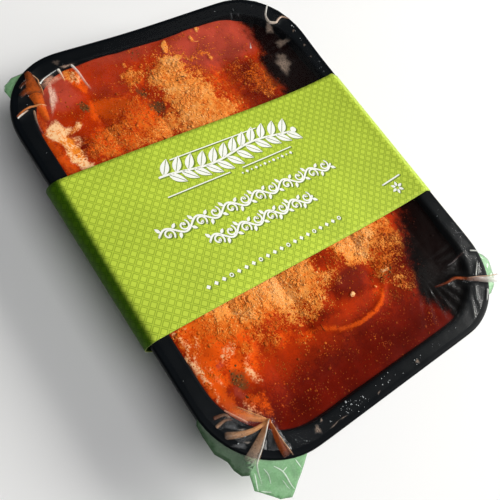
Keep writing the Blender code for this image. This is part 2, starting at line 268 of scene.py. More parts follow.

# Folds of the film: points, widths at the start and end, rise, tints and covers at the start and end. Their white and
# grey tints are painted highlights on the folds.
FOLDS = (
    (((-64.2, -92.9), (-68, -90), (-72, -86), (-76, -80.5)), (1.2, 5.2), 1.2, ("peach", "orange"), (0.8, 0.5)),
    (((-64.5, -92.5), (-67, -89), (-70, -85), (-73, -81)), (0.7, 0.5), 1.2, ("peach", "peach"), (0.8, 0.7)),
    (((-65, -93.3), (-72, -93), (-78, -91.3), (-83.5, -88.5)), (1.4, 3.2), 1.0, ("peach", "beige"), (0.85, 0.32)),
    (((-64.6, -93.3), (-70, -96.6), (-75.5, -100), (-80.8, -103)), (1.0, 6.6), 1.2, ("peach", "pale"), (0.8, 0.4)),
    (((-64.5, -93), (-69, -97), (-74, -101), (-78.9, -104.6), (-81.5, -112)), (0.8, 0.6), 1.3, ("white", "white"), (0.9, 0.6)),
    (((-64, -93), (-65, -98.5), (-65.6, -104), (-65.4, -109)), (0.9, 4.4), 1.2, ("amber", "brown"), (0.9, 0.8)),
    (((-64, -93), (-64.4, -99), (-64.2, -105), (-63.6, -110)), (0.8, 0.6), 1.2, ("peach", "beige"), (0.9, 0.8)),
    (((-78, -80), (-75, -85), (-72, -89.5)), (0.7, 0.9), 0.3, ("rose_reflection", "rose_reflection"), (0.6, 0.7)),
    (((-83.5, -80.5), (-79, -81.5), (-77.5, -84)), (1.6, 1.0), 0.4, ("brown", "beige"), (0.4, 0.3)),
    (((-84.5, -84), (-80, -83.5), (-77, -85)), (1.6, 0.8), 0.4, ("beige", "brown"), (0.5, 0.3)),
    (((49.5, -85.5), (57, -87), (63.5, -87.5), (69, -91)), (0.8, 2.0), 0.8, ("red", "amber"), (0.35, 0.6)),
    (((68, -90.5), (74, -94), (80, -97.5), (85, -99.5)), (1.9, 3.6), 1.3, ("brown", "white"), (0.7, 0.8)),
    (((69, -91), (75, -93.3), (81, -95.8), (88, -98)), (0.6, 0.8), 1.2, ("beige", "beige"), (0.6, 0.8)),
    (((82, -86.7), (78.5, -89.5), (75, -92.5)), (0.5, 0.8), 0.4, ("white", "white"), (0.7, 0.9)),
    (((83, -87.7), (80, -90), (77, -92.7)), (0.35, 0.4), 0.3, ("white", "white"), (0.5, 0.6)),
    (((71, -96.4), (68.5, -99), (66.5, -101.7), (64.5, -106.5)), (0.4, 0.5), 0.4, ("white", "grey"), (0.8, 0.6)),
    (((76, -101), (73.5, -103), (70.5, -105.4)), (1.1, 0.6), 0.4, ("white", "white"), (0.9, 0.7)),
    (((63, -100.6), (61, -104), (57.5, -108.8)), (0.4, 0.6), 0.3, ("grey", "white"), (0.5, 0.8)),
    (((83, -79.9), (85, -81), (87, -82.2)), (0.9, 0.9), 0.4, ("white", "white"), (0.75, 0.75)),
    (((65, -80.1), (68.5, -80.2), (74, -79.3), (80, -79)), (0.6, 0.4), 0.4, ("grey", "red"), (0.6, 0.3)),
    (((82.5, -68), (85, -68.9), (87.2, -70.3)), (0.5, 0.3), 0.2, ("grey", "grey"), (0.5, 0.35)),
    (((85, -62.5), (86.8, -63.8)), (0.5, 0.4), 0.2, ("grey", "grey"), (0.5, 0.4)),
    (((76.5, 101.5), (73, 98), (70.3, 94.5), (70.3, 90.5), (74, 88.8), (77, 90.3), (80.5, 91.2), (85, 88.5)), (1.0, 1.5),
     1.0, ("white", "beige"), (0.9, 0.75)),
    (((49.8, 79.4), (51.7, 83)), (1.0, 0.4), 0.4, ("white", "grey"), (0.8, 0.3)),
    (((51.4, 103.4), (49.6, 99.6)), (0.9, 0.6), 0.3, ("grey", "grey"), (0.4, 0.2)),
    (((55.2, 101.8), (54.2, 99.8)), (0.7, 0.4), 0.3, ("grey", "grey"), (0.35, 0.2)),
    (((-69, 106), (-70.5, 99), (-72, 92)), (2.6, 8.0), 1.0, ("brown", "amber"), (0.8, 0.75)),
    (((-72, 92.5), (-72.6, 86), (-73.8, 76)), (7.0, 2.4), 1.0, ("amber", "orange"), (0.75, 0.75)),
    (((-73, 96), (-76, 95), (-79, 93.5)), (3.6, 2.0), 0.8, ("amber", "brown"), (0.7, 0.15)),
    (((-71, 101), (-74, 100), (-77, 98)), (2.4, 1.2), 0.6, ("brown", "brown"), (0.6, 0.12)),
    (((-85.4, 83), (-82, 85), (-77.8, 86.2), (-74.6, 85.6), (-70, 84.5)), (1.5, 1.1), 0.9, ("amber", "peach"), (0.85, 0.8)),
    (((-85.6, 82.3), (-82.2, 83.7), (-79, 84.9)), (0.8, 0.5), 0.7, ("white", "beige"), (0.9, 0.6)),
    (((-76.7, 84), (-78.2, 79), (-78.9, 75), (-79.1, 69.5)), (1.2, 0.5), 0.2, ("beige", "grey"), (0.5, 0.2)),
    (((-67.8, 103), (-66.9, 99.8), (-67.6, 97), (-67.7, 94.2), (-68.8, 90)), (0.9, 0.6), 0.8, ("beige", "peach"), (0.9, 0.6)),
    (((-67, 97.3), (-64, 99.4), (-59.2, 101.2), (-54.6, 102.7)), (0.9, 0.6), 0.4, ("white", "grey"), (0.85, 0.8)),
    (((-54.8, 102.6), (-54.8, 99.5), (-55.1, 95)), (1.6, 0.8), 0.4, ("white", "peach"), (0.85, 0.7)),
    (((-47.5, 103), (-46.5, 98), (-46.3, 92), (-45.8, 86)), (1.5, 1.2), 0.4, ("white", "rose_reflection"), (0.85, 0.45)),
)
# The white and grey tints are painted highlights, blush a painted highlight and rose a painted reflection on the film.
FOLD_TINTS = {
    "white": (0.80, 0.81, 0.75),
    "grey": (0.20, 0.205, 0.215),
    "pale": (0.46, 0.38, 0.32),
    "beige": (0.62, 0.37, 0.23),
    "rose_reflection": (0.74, 0.36, 0.24),
    "peach": (0.86, 0.38, 0.13),
    "orange": (0.78, 0.13, 0.012),
    "amber": (0.55, 0.10, 0.012),
    "brown": (0.2, 0.045, 0.012),
    "red": (0.16, 0.018, 0.004),
    "smoke": (0.30, 0.22, 0.17),
    "blush_highlight": (0.92, 0.62, 0.47),
}

# Loose tabs of film past the lip: outlines that start and end under the film's edge.
TABS = {
    "tab_near_left": (
        (-82, -104.5), (-83, -112.5), (-78, -118), (-75.5, -121), (-70.8, -123.2), (-68.6, -121.7),
        (-64, -118.3), (-57.2, -112.9), (-54, -108.5), (-63, -102), (-72, -96), (-79, -94),
    ),
    "tab_left_strip": (
        (-87, -74), (-90.3, -79), (-90.4, -84), (-89.9, -92), (-87, -97.5), (-86.4, -101.5), (-85, -105),
        (-82.5, -106.5), (-78, -104), (-77, -97), (-82, -88), (-86, -79),
    ),
    "tab_near_right": (
        (84, -79), (88, -82.5), (91, -85), (92.5, -88.5), (91.5, -93), (89.5, -97.5), (84.8, -100.8),
        (79, -103.6), (75, -103.8), (73, -99), (79, -93),
    ),
    "tab_far_left": (
        (-66, 106), (-69.4, 107.6), (-76.5, 107.6), (-78.8, 106.2), (-81.4, 104.6), (-82.9, 101.4),
        (-82.7, 94.6), (-84, 92), (-85.2, 87.5), (-80, 88), (-74, 95),
    ),
    "tab_far_right": (
        (56, 113.5), (64.5, 112.1), (73.1, 107.5), (83, 97.6), (88.8, 85), (85, 84), (78, 95), (68, 104), (58, 109),
    ),
}
TAB_CREASES = (
    (((-72, -109), (-69.7, -112.8), (-69.2, -117), (-68.6, -121)), 0.55),
    (((-69.7, -112.8), (-67.3, -112.3)), 0.4),
    (((-76, -107.5), (-75.4, -110.6), (-76.1, -114)), 0.35),
    (((-62.8, -111.8), (-62.2, -116)), 0.4),
    (((-80.8, -114.2), (-77.4, -116.8)), 0.35),
    (((-71.4, -115.3), (-70.3, -119.9)), 0.3),
    (((-80, -107), (-81.8, -113.4)), 0.5),
    (((87.8, -92), (90, -90.5)), 0.9),
    (((85, -97.5), (88.8, -95.5)), 1.2),
    (((86, -84), (89.5, -87)), 0.5),
)

PRINT_TILT = math.radians(-1.1)


class TraySettings(bpy.types.PropertyGroup):
    plastic: FloatVectorProperty(
        name="Plastic", description="Colour of the tray's black plastic",
        default=(0.0030, 0.0040, 0.0052), subtype="COLOR", min=0, max=1,
    )
    roughness: FloatProperty(
        name="Roughness", description="How dull the plastic is", default=0.32, min=0, max=1, subtype="FACTOR",
    )
    wall: FloatProperty(
        name="Wall", description="Thickness of the plastic", default=WALL * MM, subtype="DISTANCE", unit="LENGTH",
    )


class FoodSettings(bpy.types.PropertyGroup):
    level: FloatProperty(
        name="Level", description="Depth of the sauce below the flange", default=4.4 * MM,
        subtype="DISTANCE", unit="LENGTH",
    )
    cell: FloatProperty(
        name="Cell", description="Spacing of the points on the sauce's surface", default=0.72 * MM,
        subtype="DISTANCE", unit="LENGTH",
    )
    tube_rise: FloatProperty(
        name="Tube rise", description="How far the pasta tubes lift the sauce", default=2.3 * MM,
        subtype="DISTANCE", unit="LENGTH",
    )
    red: FloatVectorProperty(
        name="Red sauce", description="Colour of the sauce", default=(0.43, 0.027, 0.0010),
        subtype="COLOR", min=0, max=1,
    )
    deep: FloatVectorProperty(
        name="Deep sauce", description="Colour of the sauce where it lies thick", default=(0.135, 0.0045, 0.0003),
        subtype="COLOR", min=0, max=1,
    )
    orange: FloatVectorProperty(
        name="Oily sauce", description="Colour of the sauce where it is oily and thin",
        default=(0.74, 0.084, 0.003), subtype="COLOR", min=0, max=1,
    )
    # Painted sheen: the paler, pinker sauce stands in for the film's reflection where the film lies on the sauce.
    haze: FloatVectorProperty(
        name="Hazy sauce", description="Colour of the sauce where the film clings to it",
        default=(0.46, 0.056, 0.030), subtype="COLOR", min=0, max=1,
    )
    cheese: FloatVectorProperty(
        name="Cheese", description="Colour of the melted cheese", default=(0.90, 0.315, 0.056),
        subtype="COLOR", min=0, max=1,
    )
    toasted: FloatVectorProperty(
        name="Toasted cheese", description="Colour of the cheese where it is browned",
        default=(0.70, 0.135, 0.010), subtype="COLOR", min=0, max=1,
    )
    cream: FloatVectorProperty(
        name="Cream", description="Colour of the soft white cheese", default=(0.98, 0.60, 0.31),
        subtype="COLOR", min=0, max=1,
    )
    herb: FloatVectorProperty(
        name="Herbs", description="Colour of the dried herbs", default=(0.10, 0.045, 0.012),
        subtype="COLOR", min=0, max=1,
    )
    crumbs: IntProperty(
        name="Crumbs", description="Number of crumbs on the thick cheese", default=7600, min=0, max=8000,
    )
    crumb_size: FloatProperty(
        name="Crumb size", description="Usual width of a crumb", default=0.72 * MM,
        subtype="DISTANCE", unit="LENGTH",
    )
    shreds: IntProperty(name="Shreds", description="Number of grated cheese shreds", default=100, min=0, max=2000)
    seed: IntProperty(name="Seed", description="Start of the scatter's random numbers", default=11, min=0)


class FilmSettings(bpy.types.PropertyGroup):
    sag: FloatProperty(
        name="Sag", description="How far the film hangs in the middle", default=1.6 * MM,
        subtype="DISTANCE", unit="LENGTH",
    )
    pleat: FloatProperty(
        name="Pleats", description="Height of the small folds round the corners", default=0.12 * MM,
        subtype="DISTANCE", unit="LENGTH",
    )
    roughness: FloatProperty(
        name="Roughness", description="How much the film blurs reflections", default=0.16, min=0, max=1,
        subtype="FACTOR",
    )
    tab_tint: FloatVectorProperty(
        name="Tab tint", description="Colour that the loose tabs let through", default=(0.42, 0.74, 0.44),
        subtype="COLOR", min=0, max=1,
    )
    droop: FloatProperty(
        name="Droop", description="Fall of a loose tab for each unit that it reaches out", default=0.42, min=0, max=1,
    )
    droplets: IntProperty(name="Droplets", description="Number of specks on the flange", default=150, min=0, max=2000)


class SleeveSettings(bpy.types.PropertyGroup):
    ground: FloatVectorProperty(
        name="Ground", description="Green between the woven squares", default=(0.34, 0.46, 0.034),
        subtype="COLOR", min=0, max=1,
    )
    square: FloatVectorProperty(
        name="Squares", description="Green of the woven squares", default=(0.52, 0.66, 0.060),
        subtype="COLOR", min=0, max=1,
    )
    line: FloatVectorProperty(
        name="Lines", description="Dark green of the thin lines", default=(0.22, 0.32, 0.018),
        subtype="COLOR", min=0, max=1,
    )
    pitch: FloatProperty(
        name="Pitch", description="Distance between woven squares", default=3.5 * MM,
        subtype="DISTANCE", unit="LENGTH",
    )
    ink: FloatVectorProperty(
        name="White ink", description="Colour of the print", default=(0.93, 0.94, 0.88),
        subtype="COLOR", min=0, max=1,
    )
    ink_shadow: FloatVectorProperty(
        name="Ink shadow", description="Dark green printed beside the white shapes", default=(0.16, 0.235, 0.018),
        subtype="COLOR", min=0, max=1,
    )


class StageSettings(bpy.types.PropertyGroup):
    floor: FloatVectorProperty(
        name="Floor", description="Colour of the floor", default=(0.9, 0.9, 0.9), subtype="COLOR", min=0, max=1,
    )
    sky: FloatProperty(name="Sky", description="Brightness of the room's even light", default=0.06, min=0)
    key: FloatProperty(name="Key light", description="Power of the low light at the right", default=52.0, min=0)
    top: FloatProperty(name="Top light", description="Power of the light overhead", default=10.0, min=0)
    sheen: FloatProperty(name="Sheen light", description="Power of the panel that the film mirrors", default=0.08, min=0)


# ---- Shared helpers -------------------------------------------------------------------------


def node(tree, kind, inputs=None, **settings):
    """Adds a shader node; an input's value may be another node's output."""
    made = tree.nodes.new(kind)
    for name, value in settings.items():
        setattr(made, name, value)
    for name, value in (inputs or {}).items():
        if isinstance(value, bpy.types.NodeSocket):
            tree.links.new(value, made.inputs[name])
        else:
            made.inputs[name].default_value = value
    return made


def maths(tree, operation, first, second=0.0, clamp=False):
    made = node(tree, "ShaderNodeMath", operation=operation, use_clamp=clamp)
    for index, value in enumerate((first, second)):
        if isinstance(value, bpy.types.NodeSocket):
            tree.links.new(value, made.inputs[index])
        else:
            made.inputs[index].default_value = value
    return made.outputs[0]


def field(tree, name):
    return node(tree, "ShaderNodeAttribute", attribute_name=name).outputs["Fac"]


def place(tree):
    """Position on the piece in millimetres."""
    coordinates = node(tree, "ShaderNodeTexCoord").outputs["Object"]
    scaled = node(tree, "ShaderNodeVectorMath", {0: coordinates, "Scale": 1 / MM}, operation="SCALE")
    return scaled.outputs[0]


def grain(tree, vector, size, detail=2.0, roughness=0.5):
    """Noise from 0 to 1 whose lumps are about a size in millimetres."""
    inputs = {"Vector": vector, "Scale": 1 / size, "Detail": detail, "Roughness": roughness}
    return node(tree, "ShaderNodeTexNoise", inputs).outputs["Fac"]


def between(tree, value, low, high, start=0.0, end=1.0):
    """Maps a value smoothly from one range to another."""
    inputs = {"Value": value, "From Min": low, "From Max": high, "To Min": start, "To Max": end}
    return node(tree, "ShaderNodeMapRange", inputs, interpolation_type="SMOOTHSTEP").outputs["Result"]


def mixed(tree, share, first, second, how="MIX"):
    made = node(tree, "ShaderNodeMix", data_type="RGBA", blend_type=how)
    for index, value in ((0, share), (6, first), (7, second)):
        if isinstance(value, bpy.types.NodeSocket):
            tree.links.new(value, made.inputs[index])
        elif index:
            made.inputs[index].default_value = (*value[:3], 1.0)
        else:
            made.inputs[index].default_value = value
    return made.outputs[2]


def new_material(name):
    material = bpy.data.materials.new(name)
    material.use_nodes = True
    tree = material.node_tree
    return material, tree, tree.nodes["Principled BSDF"]


def bump(tree, shader, height, strength, distance):
    made = node(tree, "ShaderNodeBump", {"Height": height, "Strength": strength, "Distance": distance * MM})
    tree.links.new(made.outputs[0], shader.inputs["Normal"])
    return made


def new_piece(name, vertices, faces, material, slot, smooth=True):
    """A mesh piece from millimetre points, riding on the pack's one body."""
    mesh = bpy.data.meshes.new(name)
    mesh.from_pydata([tuple(c * MM for c in point) for point in vertices], [], faces)
    mesh.validate()
    if smooth:
        mesh.shade_smooth()
    mesh.materials.append(material)
    piece = bpy.data.objects.new(name, mesh)
    bpy.context.scene.collection.objects.link(piece)
    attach(piece, "root")
    return piece


def store(piece, name, values):
    layer = piece.data.attributes.new(name, "FLOAT", "POINT")
    layer.data.foreach_set("value", np.asarray(values, np.float32))


def store_colour(piece, name, colours):
    layer = piece.data.attributes.new(name, "FLOAT_COLOR", "POINT")
    flat = np.ones((len(colours), 4), np.float32)
    flat[:, :3] = colours
    layer.data.foreach_set("color", flat.ravel())


def apply_modifiers(piece):
    """Replaces the piece's mesh by what its modifiers make of it."""
    evaluated = piece.evaluated_get(bpy.context.evaluated_depsgraph_get())
    mesh = bpy.data.meshes.new_from_object(evaluated)
    piece.modifiers.clear()
    piece.data = mesh


def smooth_step(low, high, value):
    t = np.clip((np.asarray(value, float) - low) / (high - low), 0.0, 1.0)
    return t * t * (3 - 2 * t)


def cloud(x, y, size, seed, octaves=3):
    """Smooth noise from about -1 to 1 whose lumps are about a size in millimetres."""
    x = np.asarray(x, float)
    y = np.asarray(y, float)
    total = np.zeros(np.broadcast(x, y).shape)
    weight, whole = 1.0, 0.0
    for octave in range(octaves):
        table = np.random.RandomState(seed + octave).uniform(-1, 1, (64, 64))
        u = x / size + 31.7 * (octave + 1)
        v = y / size + 12.9 * (octave + 1)
        i, j = np.floor(u).astype(int), np.floor(v).astype(int)
        s, t = u - i, v - j
        s, t = s * s * (3 - 2 * s), t * t * (3 - 2 * t)
        near = table[i % 64, j % 64] * (1 - s) + table[(i + 1) % 64, j % 64] * s
        far = table[i % 64, (j + 1) % 64] * (1 - s) + table[(i + 1) % 64, (j + 1) % 64] * s
        total += weight * (near * (1 - t) + far * t)
        whole += weight
        weight *= 0.55
        size *= 0.5
    return total / whole


def corner_lift(x, y):
    """The far right corner of the flange is bent up a little."""
    return CORNER_LIFT * smooth_step(*LIFTED_ACROSS, x) * smooth_step(*LIFTED_ALONG, y)


def outline(inset, radius, corner_steps, side_steps):
    """Points round a rounded rectangle, each with its outward direction, corner and share of the turn."""
    points = []
    corners = ((1, 1), (-1, 1), (-1, -1), (1, -1))
    for corner, (sx, sy) in enumerate(corners):
        cx = sx * (HALF_WIDTH - inset - radius)
        cy = sy * (HALF_LENGTH - inset - radius)
        for step in range(corner_steps + 1):
            turn = math.radians(90 * (corner + step / corner_steps))
            nx, ny = math.cos(turn), math.sin(turn)
            points.append((cx + nx * radius, cy + ny * radius, nx, ny, corner, step / corner_steps))
        tx, ty = corners[(corner + 1) % 4]
        ex = tx * (HALF_WIDTH - inset - radius) + nx * radius
        ey = ty * (HALF_LENGTH - inset - radius) + ny * radius
        start = points[-1]
        for step in range(1, side_steps):
            t = step / side_steps
            points.append((start[0] + (ex - start[0]) * t, start[1] + (ey - start[1]) * t, nx, ny, corner, 1.0))
    return points


def loft(rings, cap=False):
    """Faces between rings of equal length, and across the last one."""
    count = len(rings[0])
    faces = []
    for row in range(len(rings) - 1):
        for i in range(count):
            j = (i + 1) % count
            faces.append((row * count + i, row * count + j, (row + 1) * count + j, (row + 1) * count + i))
    if cap:
        faces.append(tuple(range((len(rings) - 1) * count, len(rings) * count)))
    return [point for ring in rings for point in ring], faces


def distance_to_path(x, y, path):
    """Distance from each place to a line through points, and how far along it the nearest point is."""
    best = np.full(np.shape(x), 1e9)
    along = np.zeros(np.shape(x))
    for index, ((x0, y0), (x1, y1)) in enumerate(zip(path, path[1:])):
        dx, dy = x1 - x0, y1 - y0
        t = np.clip(((x - x0) * dx + (y - y0) * dy) / (dx * dx + dy * dy), 0, 1)
        distance = np.hypot(x - x0 - t * dx, y - y0 - t * dy)
        along = np.where(distance < best, (index + t) / (len(path) - 1), along)
        best = np.minimum(best, distance)
    return best, along


# ---- Tray -----------------------------------------------------------------------------------


def plastic_material(settings):
    material, tree, shader = new_material("tray_plastic")
    where = place(tree)
    mottle = grain(tree, where, 9.0, detail=3.0)
    colour = mixed(tree, mottle, [c * 0.75 for c in settings.plastic], [c * 1.3 for c in settings.plastic])
    tree.links.new(colour, shader.inputs["Base Color"])
    scuffs = grain(tree, where, 7.0, detail=3.0)
    rough = between(tree, scuffs, 0.3, 0.75, settings.roughness - 0.03, settings.roughness + 0.05)
    tree.links.new(rough, shader.inputs["Roughness"])
    shader.inputs["Specular IOR Level"].default_value = 0.035
    return material


class MEAL_OT_tray(bpy.types.Operator):
    """Forms the black tray with its rolled lip and flat flange"""

    bl_idname = "meal.tray"
    bl_label = "Tray"

    def execute(self, context):
        settings = context.scene.meal_tray
        rings = []
        for inset, depth, radius in LIP_PROFILE + WALL_PROFILE:
            ring = []
            for x, y, *_ in outline(inset, radius, 14, 10):
                lift = float(corner_lift(x, y)) * (1 - depth / FLANGE_HEIGHT)
                ring.append((x, y, FLANGE_TOP - depth + lift))
            rings.append(ring)
        tray = new_piece("tray_shell", *loft(rings, cap=True), plastic_material(settings), "tray_plastic")
        shell = tray.modifiers.new("Wall", "SOLIDIFY")
        shell.thickness = settings.wall
        shell.offset = -1.0
        shell.use_even_offset = True
        rounder = tray.modifiers.new("Rounding", "SUBSURF")
        rounder.levels = 1
        rounder.render_levels = 1
        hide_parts("tray")
        return {"FINISHED"}


# ---- Food -----------------------------------------------------------------------------------


def wall_inset(depth):
    rows = LIP_PROFILE[-1:] + WALL_PROFILE[:7]
    return np.interp(depth, [row[1] for row in rows], [row[0] for row in rows])


def wall_radius(depth):
    rows = LIP_PROFILE[-1:] + WALL_PROFILE[:7]
    return np.interp(depth, [row[1] for row in rows], [row[2] for row in rows])


def outside(x, y, inset, radius):
    """Distance out of a rounded rectangle (negative inside it) and the outward direction."""
    qx = np.abs(x) - (HALF_WIDTH - inset - radius)
    qy = np.abs(y) - (HALF_LENGTH - inset - radius)
    px, py = np.maximum(qx, 0), np.maximum(qy, 0)
    reach = np.hypot(px, py)
    distance = reach + np.minimum(np.maximum(qx, qy), 0) - radius
    corner = reach > 1e-6
    nx = np.where(corner, px / np.maximum(reach, 1e-6), qx > qy) * np.sign(x)
    ny = np.where(corner, py / np.maximum(reach, 1e-6), qx <= qy) * np.sign(y)
    return distance, nx, ny


def warped(x, y, seed, reach):
    """Places pushed about by noise, so that painted patches get uneven outlines."""
    for size, share in ((10.0, 1.0), (3.4, 0.6), (1.3, 0.35)):
        push_x, push_y = cloud(x, y, size, seed, 2), cloud(x, y, size, seed + 7, 2)
        x, y = x + reach * share * push_x, y + reach * share * push_y
        seed += 13
    return x, y


def spots(x, y, rows, seed, reach=3.0, soft=0.35):
    """How strongly a place belongs to any of the listed patches, whose edges are ragged."""
    x, y = warped(x, y, seed, reach)
    value = np.zeros(np.shape(x))
    for cx, cy, rx, ry, turn, strength in rows:
        c, s = math.cos(math.radians(turn)), math.sin(math.radians(turn))
        u = ((x - cx) * c + (y - cy) * s) / rx
        v = (-(x - cx) * s + (y - cy) * c) / ry
        value = np.maximum(value, strength * (1 - smooth_step(1 - soft, 1 + soft, np.hypot(u, v))))
    return value


def tube_height(x, y):
    height = np.zeros(np.shape(x))
    for middle, half_width, near, far in TUBES:
        across = np.clip(np.abs(x - middle) / half_width, 0, 1)
        ends = smooth_step(near - 4, near + 9, y) * (1 - smooth_step(far - 12, far + 2, y))
        height = np.maximum(height, (1 - across**2) ** 0.8 * ends)
    return height


def painted_fields(x, y):
    """The painted fields of the food's surface, worked out place by place."""
    arc, along = distance_to_path(x + 0.8 * cloud(x, y, 5, 65), y + 0.8 * cloud(x, y, 5, 66), SAUCE_ARC)
    glow = np.exp(-((arc / 1.5) ** 2)) * np.sin(math.pi * np.clip(along * 0.86 + 0.1, 0, 1)) ** 0.7
    blobs = spots(x, y, BLOBS, 23, 0.8, 0.3)
    bare = 1 - spots(x, y, BARE, 25, 2.5, 0.5)
    deep = spots(x, y, DEEP, 61, 3.0, 0.6)
    return {
        "cheese": np.maximum(spots(x, y, CHEESE, 21, 3.6, 0.4) * bare, blobs),
        "halo": spots(x, y, CHEESE, 21, 5.0, 0.85) * (0.4 + 0.6 * bare),
        "cream": np.maximum(spots(x, y, CREAM, 31, 2.8, 0.6), 0.75 * (blobs > 0.6) * (y < -60)),
        "warm": np.maximum(spots(x, y, WARM, 41, 3.0, 0.55), 0.95 * glow),
        "herb": spots(x, y, HERBS, 51, 1.6, 0.5),
        "deep": np.maximum(deep, smooth_step(60, 98, -y + 5 * cloud(x, y, 16, 67))),
        # The haze field is the painted sheen of the film over the sauce.
        "haze": spots(x, y, SAUCE_SHEEN, 71, 2.5, 0.6),
        "drift": spots(x, y, DRIFTS, 81, 4.0, 0.7),
        "tone": 0.5 + 0.6 * cloud(x, y, 9, 131, 4),
        "pit": smooth_step(0.36, 0.6, cloud(x, y, 3.2, 171, 3)),
        "dark": painted_wall_shade(x, y),
    }


@functools.lru_cache(maxsize=1)
def field_grid():
    xs = np.arange(-HALF_WIDTH, HALF_WIDTH + FIELD_STEP, FIELD_STEP)
    ys = np.arange(-HALF_LENGTH, HALF_LENGTH + FIELD_STEP, FIELD_STEP)
    return painted_fields(*np.meshgrid(xs, ys, indexing="ij"))


def food_fields(x, y):
    """The painted fields of the food's surface at each place."""
    grids = field_grid()
    columns, rows = grids["cheese"].shape
    u = np.clip((np.asarray(x, float) + HALF_WIDTH) / FIELD_STEP, 0, columns - 1.001)
    v = np.clip((np.asarray(y, float) + HALF_LENGTH) / FIELD_STEP, 0, rows - 1.001)
    i, j = u.astype(int), v.astype(int)
    s, t = u - i, v - j
    return {
        name: (grid[i, j] * (1 - s) + grid[i + 1, j] * s) * (1 - t)
        + (grid[i, j + 1] * (1 - s) + grid[i + 1, j + 1] * s) * t
        for name, grid in grids.items()
    }


def painted_wall_shade(x, y):
    """Painted shade on the sauce along the right wall, where the wall's shadow falls."""
    wander = 5.0 * cloud(x, y, 13, 75, 3) + 2.4 * cloud(x, y, 3, 77, 2)
    start, width = np.interp(y, DARK_ALONG, DARK_START), np.interp(y, DARK_ALONG, DARK_WIDTH)
    return smooth_step(0, 1, (x + wander - start) / width)


def food_height(x, y, level=4.4, rise=2.3):
    """Height of the sauce's surface above the flange (so it is negative), with its cheese and ridges."""
    fields = food_fields(x, y)
    height = -level + rise * tube_height(x, y)
    height = height + cloud(x, y, 17, 5, 2) * 0.8
    height = height + 1.2 * np.maximum(smooth_step(68, 78, -x), smooth_step(90, 102, -y))
    height = height + 2.6 * smooth_step(86, 102, y) * (1 - smooth_step(30, 62, x))
    height = height + 1.2 * smooth_step(60, 78, x) * (1 - smooth_step(40, 70, y))
    lumpy = cloud(x, y, 3.2, 81, 3) * 0.5 + cloud(x, y, 1.5, 91, 2) * 0.28
    height = height + fields["cheese"] * (0.5 + lumpy) + fields["cream"] * (0.45 + 0.3 * lumpy)
    height = height + (1 - fields["cheese"]) * cloud(x, y, 4.5, 95, 2) * 0.16
    arc, _ = distance_to_path(x, y, SAUCE_ARC)
    height = height + 0.8 * np.exp(-((arc / 1.8) ** 2))
    return np.minimum(height, -1.45 + 0.1 * lumpy)


def food_material(settings):
    material, tree, shader = new_material("baked_sauce_and_cheese")
    where = place(tree)
    fine = grain(tree, where, 0.8, detail=3.0, roughness=0.65)
    coarse = grain(tree, where, 3.2, detail=4.0, roughness=0.62)
    broad = grain(tree, where, 15.0, detail=3.0)
    grains = maths(tree, "ADD", maths(tree, "MULTIPLY", fine, 1.1), maths(tree, "MULTIPLY", coarse, 1.5))
    grains = maths(tree, "SUBTRACT", grains, 1.3)

    def edged(name, low, high, share=1.0):
        """A painted field whose edge breaks up into grains."""
        return between(tree, maths(tree, "ADD", field(tree, name), maths(tree, "MULTIPLY", grains, share)), low, high)

    def shaded(colour, factor):
        grey = node(tree, "ShaderNodeCombineColor", {0: factor, 1: factor, 2: factor})
        return mixed(tree, 1.0, colour, grey.outputs[0], "MULTIPLY")

    deep = edged("deep", 0.1, 0.9, 0.55)
    sauce = mixed(tree, deep, settings.red, settings.deep)
    # Painted sheen: the sauce turns paler and pinker where the film's reflection lies over it.
    sauce = mixed(tree, edged("haze", 0.1, 0.9, 0.15), sauce, settings.haze)
    sauce = mixed(tree, edged("warm", 0.3, 0.95, 0.9), sauce, settings.orange)
    flecks = between(tree, grains, 0.2, 0.5, 0.0, 0.5)
    thick = between(tree, deep, 0.0, 1.0, 1.0, 0.35)
    sauce = mixed(tree, maths(tree, "MULTIPLY", flecks, thick), sauce, settings.orange)
    sauce = shaded(sauce, between(tree, broad, 0.3, 0.7, 0.72, 1.18))
    # Painted shade: the sauce is darkened where the bump's grains are low, in its hollows.
    sauce = shaded(sauce, between(tree, grains, -0.55, -0.1, 0.6, 1.0))
    tone = maths(tree, "ADD", maths(tree, "MULTIPLY", grains, 1.1), field(tree, "tone"))
    tone = maths(tree, "SUBTRACT", tone, maths(tree, "MULTIPLY", field(tree, "warm"), 0.5))
    tone = maths(tree, "SUBTRACT", tone, between(tree, field(tree, "cheese"), 0.5, 1.0, 0.35, 0.0))
    cheese = mixed(tree, between(tree, tone, 0.0, 0.6), settings.toasted, settings.cheese)
    cheese = mixed(tree, between(tree, tone, 0.55, 1.2), cheese, CRUMB_PALE)
    cheese = mixed(tree, maths(tree, "MULTIPLY", field(tree, "pit"), 0.55), cheese, CRUMB_BROWN)
    crusty = edged("cheese", 0.38, 0.7, 0.9)
    colour = mixed(tree, crusty, sauce, cheese)
    milky = edged("cream", 0.22, 0.85, 0.6)
    curds = between(tree, maths(tree, "ADD", field(tree, "tone"), maths(tree, "MULTIPLY", grains, 1.6)), 0.1, 0.66)
    colour = mixed(tree, milky, colour, mixed(tree, curds, CURD_ORANGE, settings.cream))
    leafy = maths(tree, "MULTIPLY", edged("herb", 0.35, 0.95, 0.9), 0.8)
    colour = mixed(tree, leafy, colour, settings.herb)
    pits = between(tree, grain(tree, where, 2.1, detail=2.0), 0.24, 0.34, 0.7, 1.0)
    colour = shaded(colour, pits)
    # Painted shade along the right wall darkens the food there.
    lit = maths(tree, "POWER", between(tree, edged("dark", 0.0, 1.0, 0.3), 0.0, 1.0, 1.0, 0.06), 1.7)
    colour = shaded(colour, lit)
    tree.links.new(colour, shader.inputs["Base Color"])
    shader.inputs["Roughness"].default_value = 0.5
    shader.inputs["Specular IOR Level"].default_value = 0.012
    relief = maths(tree, "MULTIPLY", grains, between(tree, crusty, 0.0, 1.0, 0.3, 1.0))
    bump(tree, shader, relief, 0.45, 0.25)
    return material


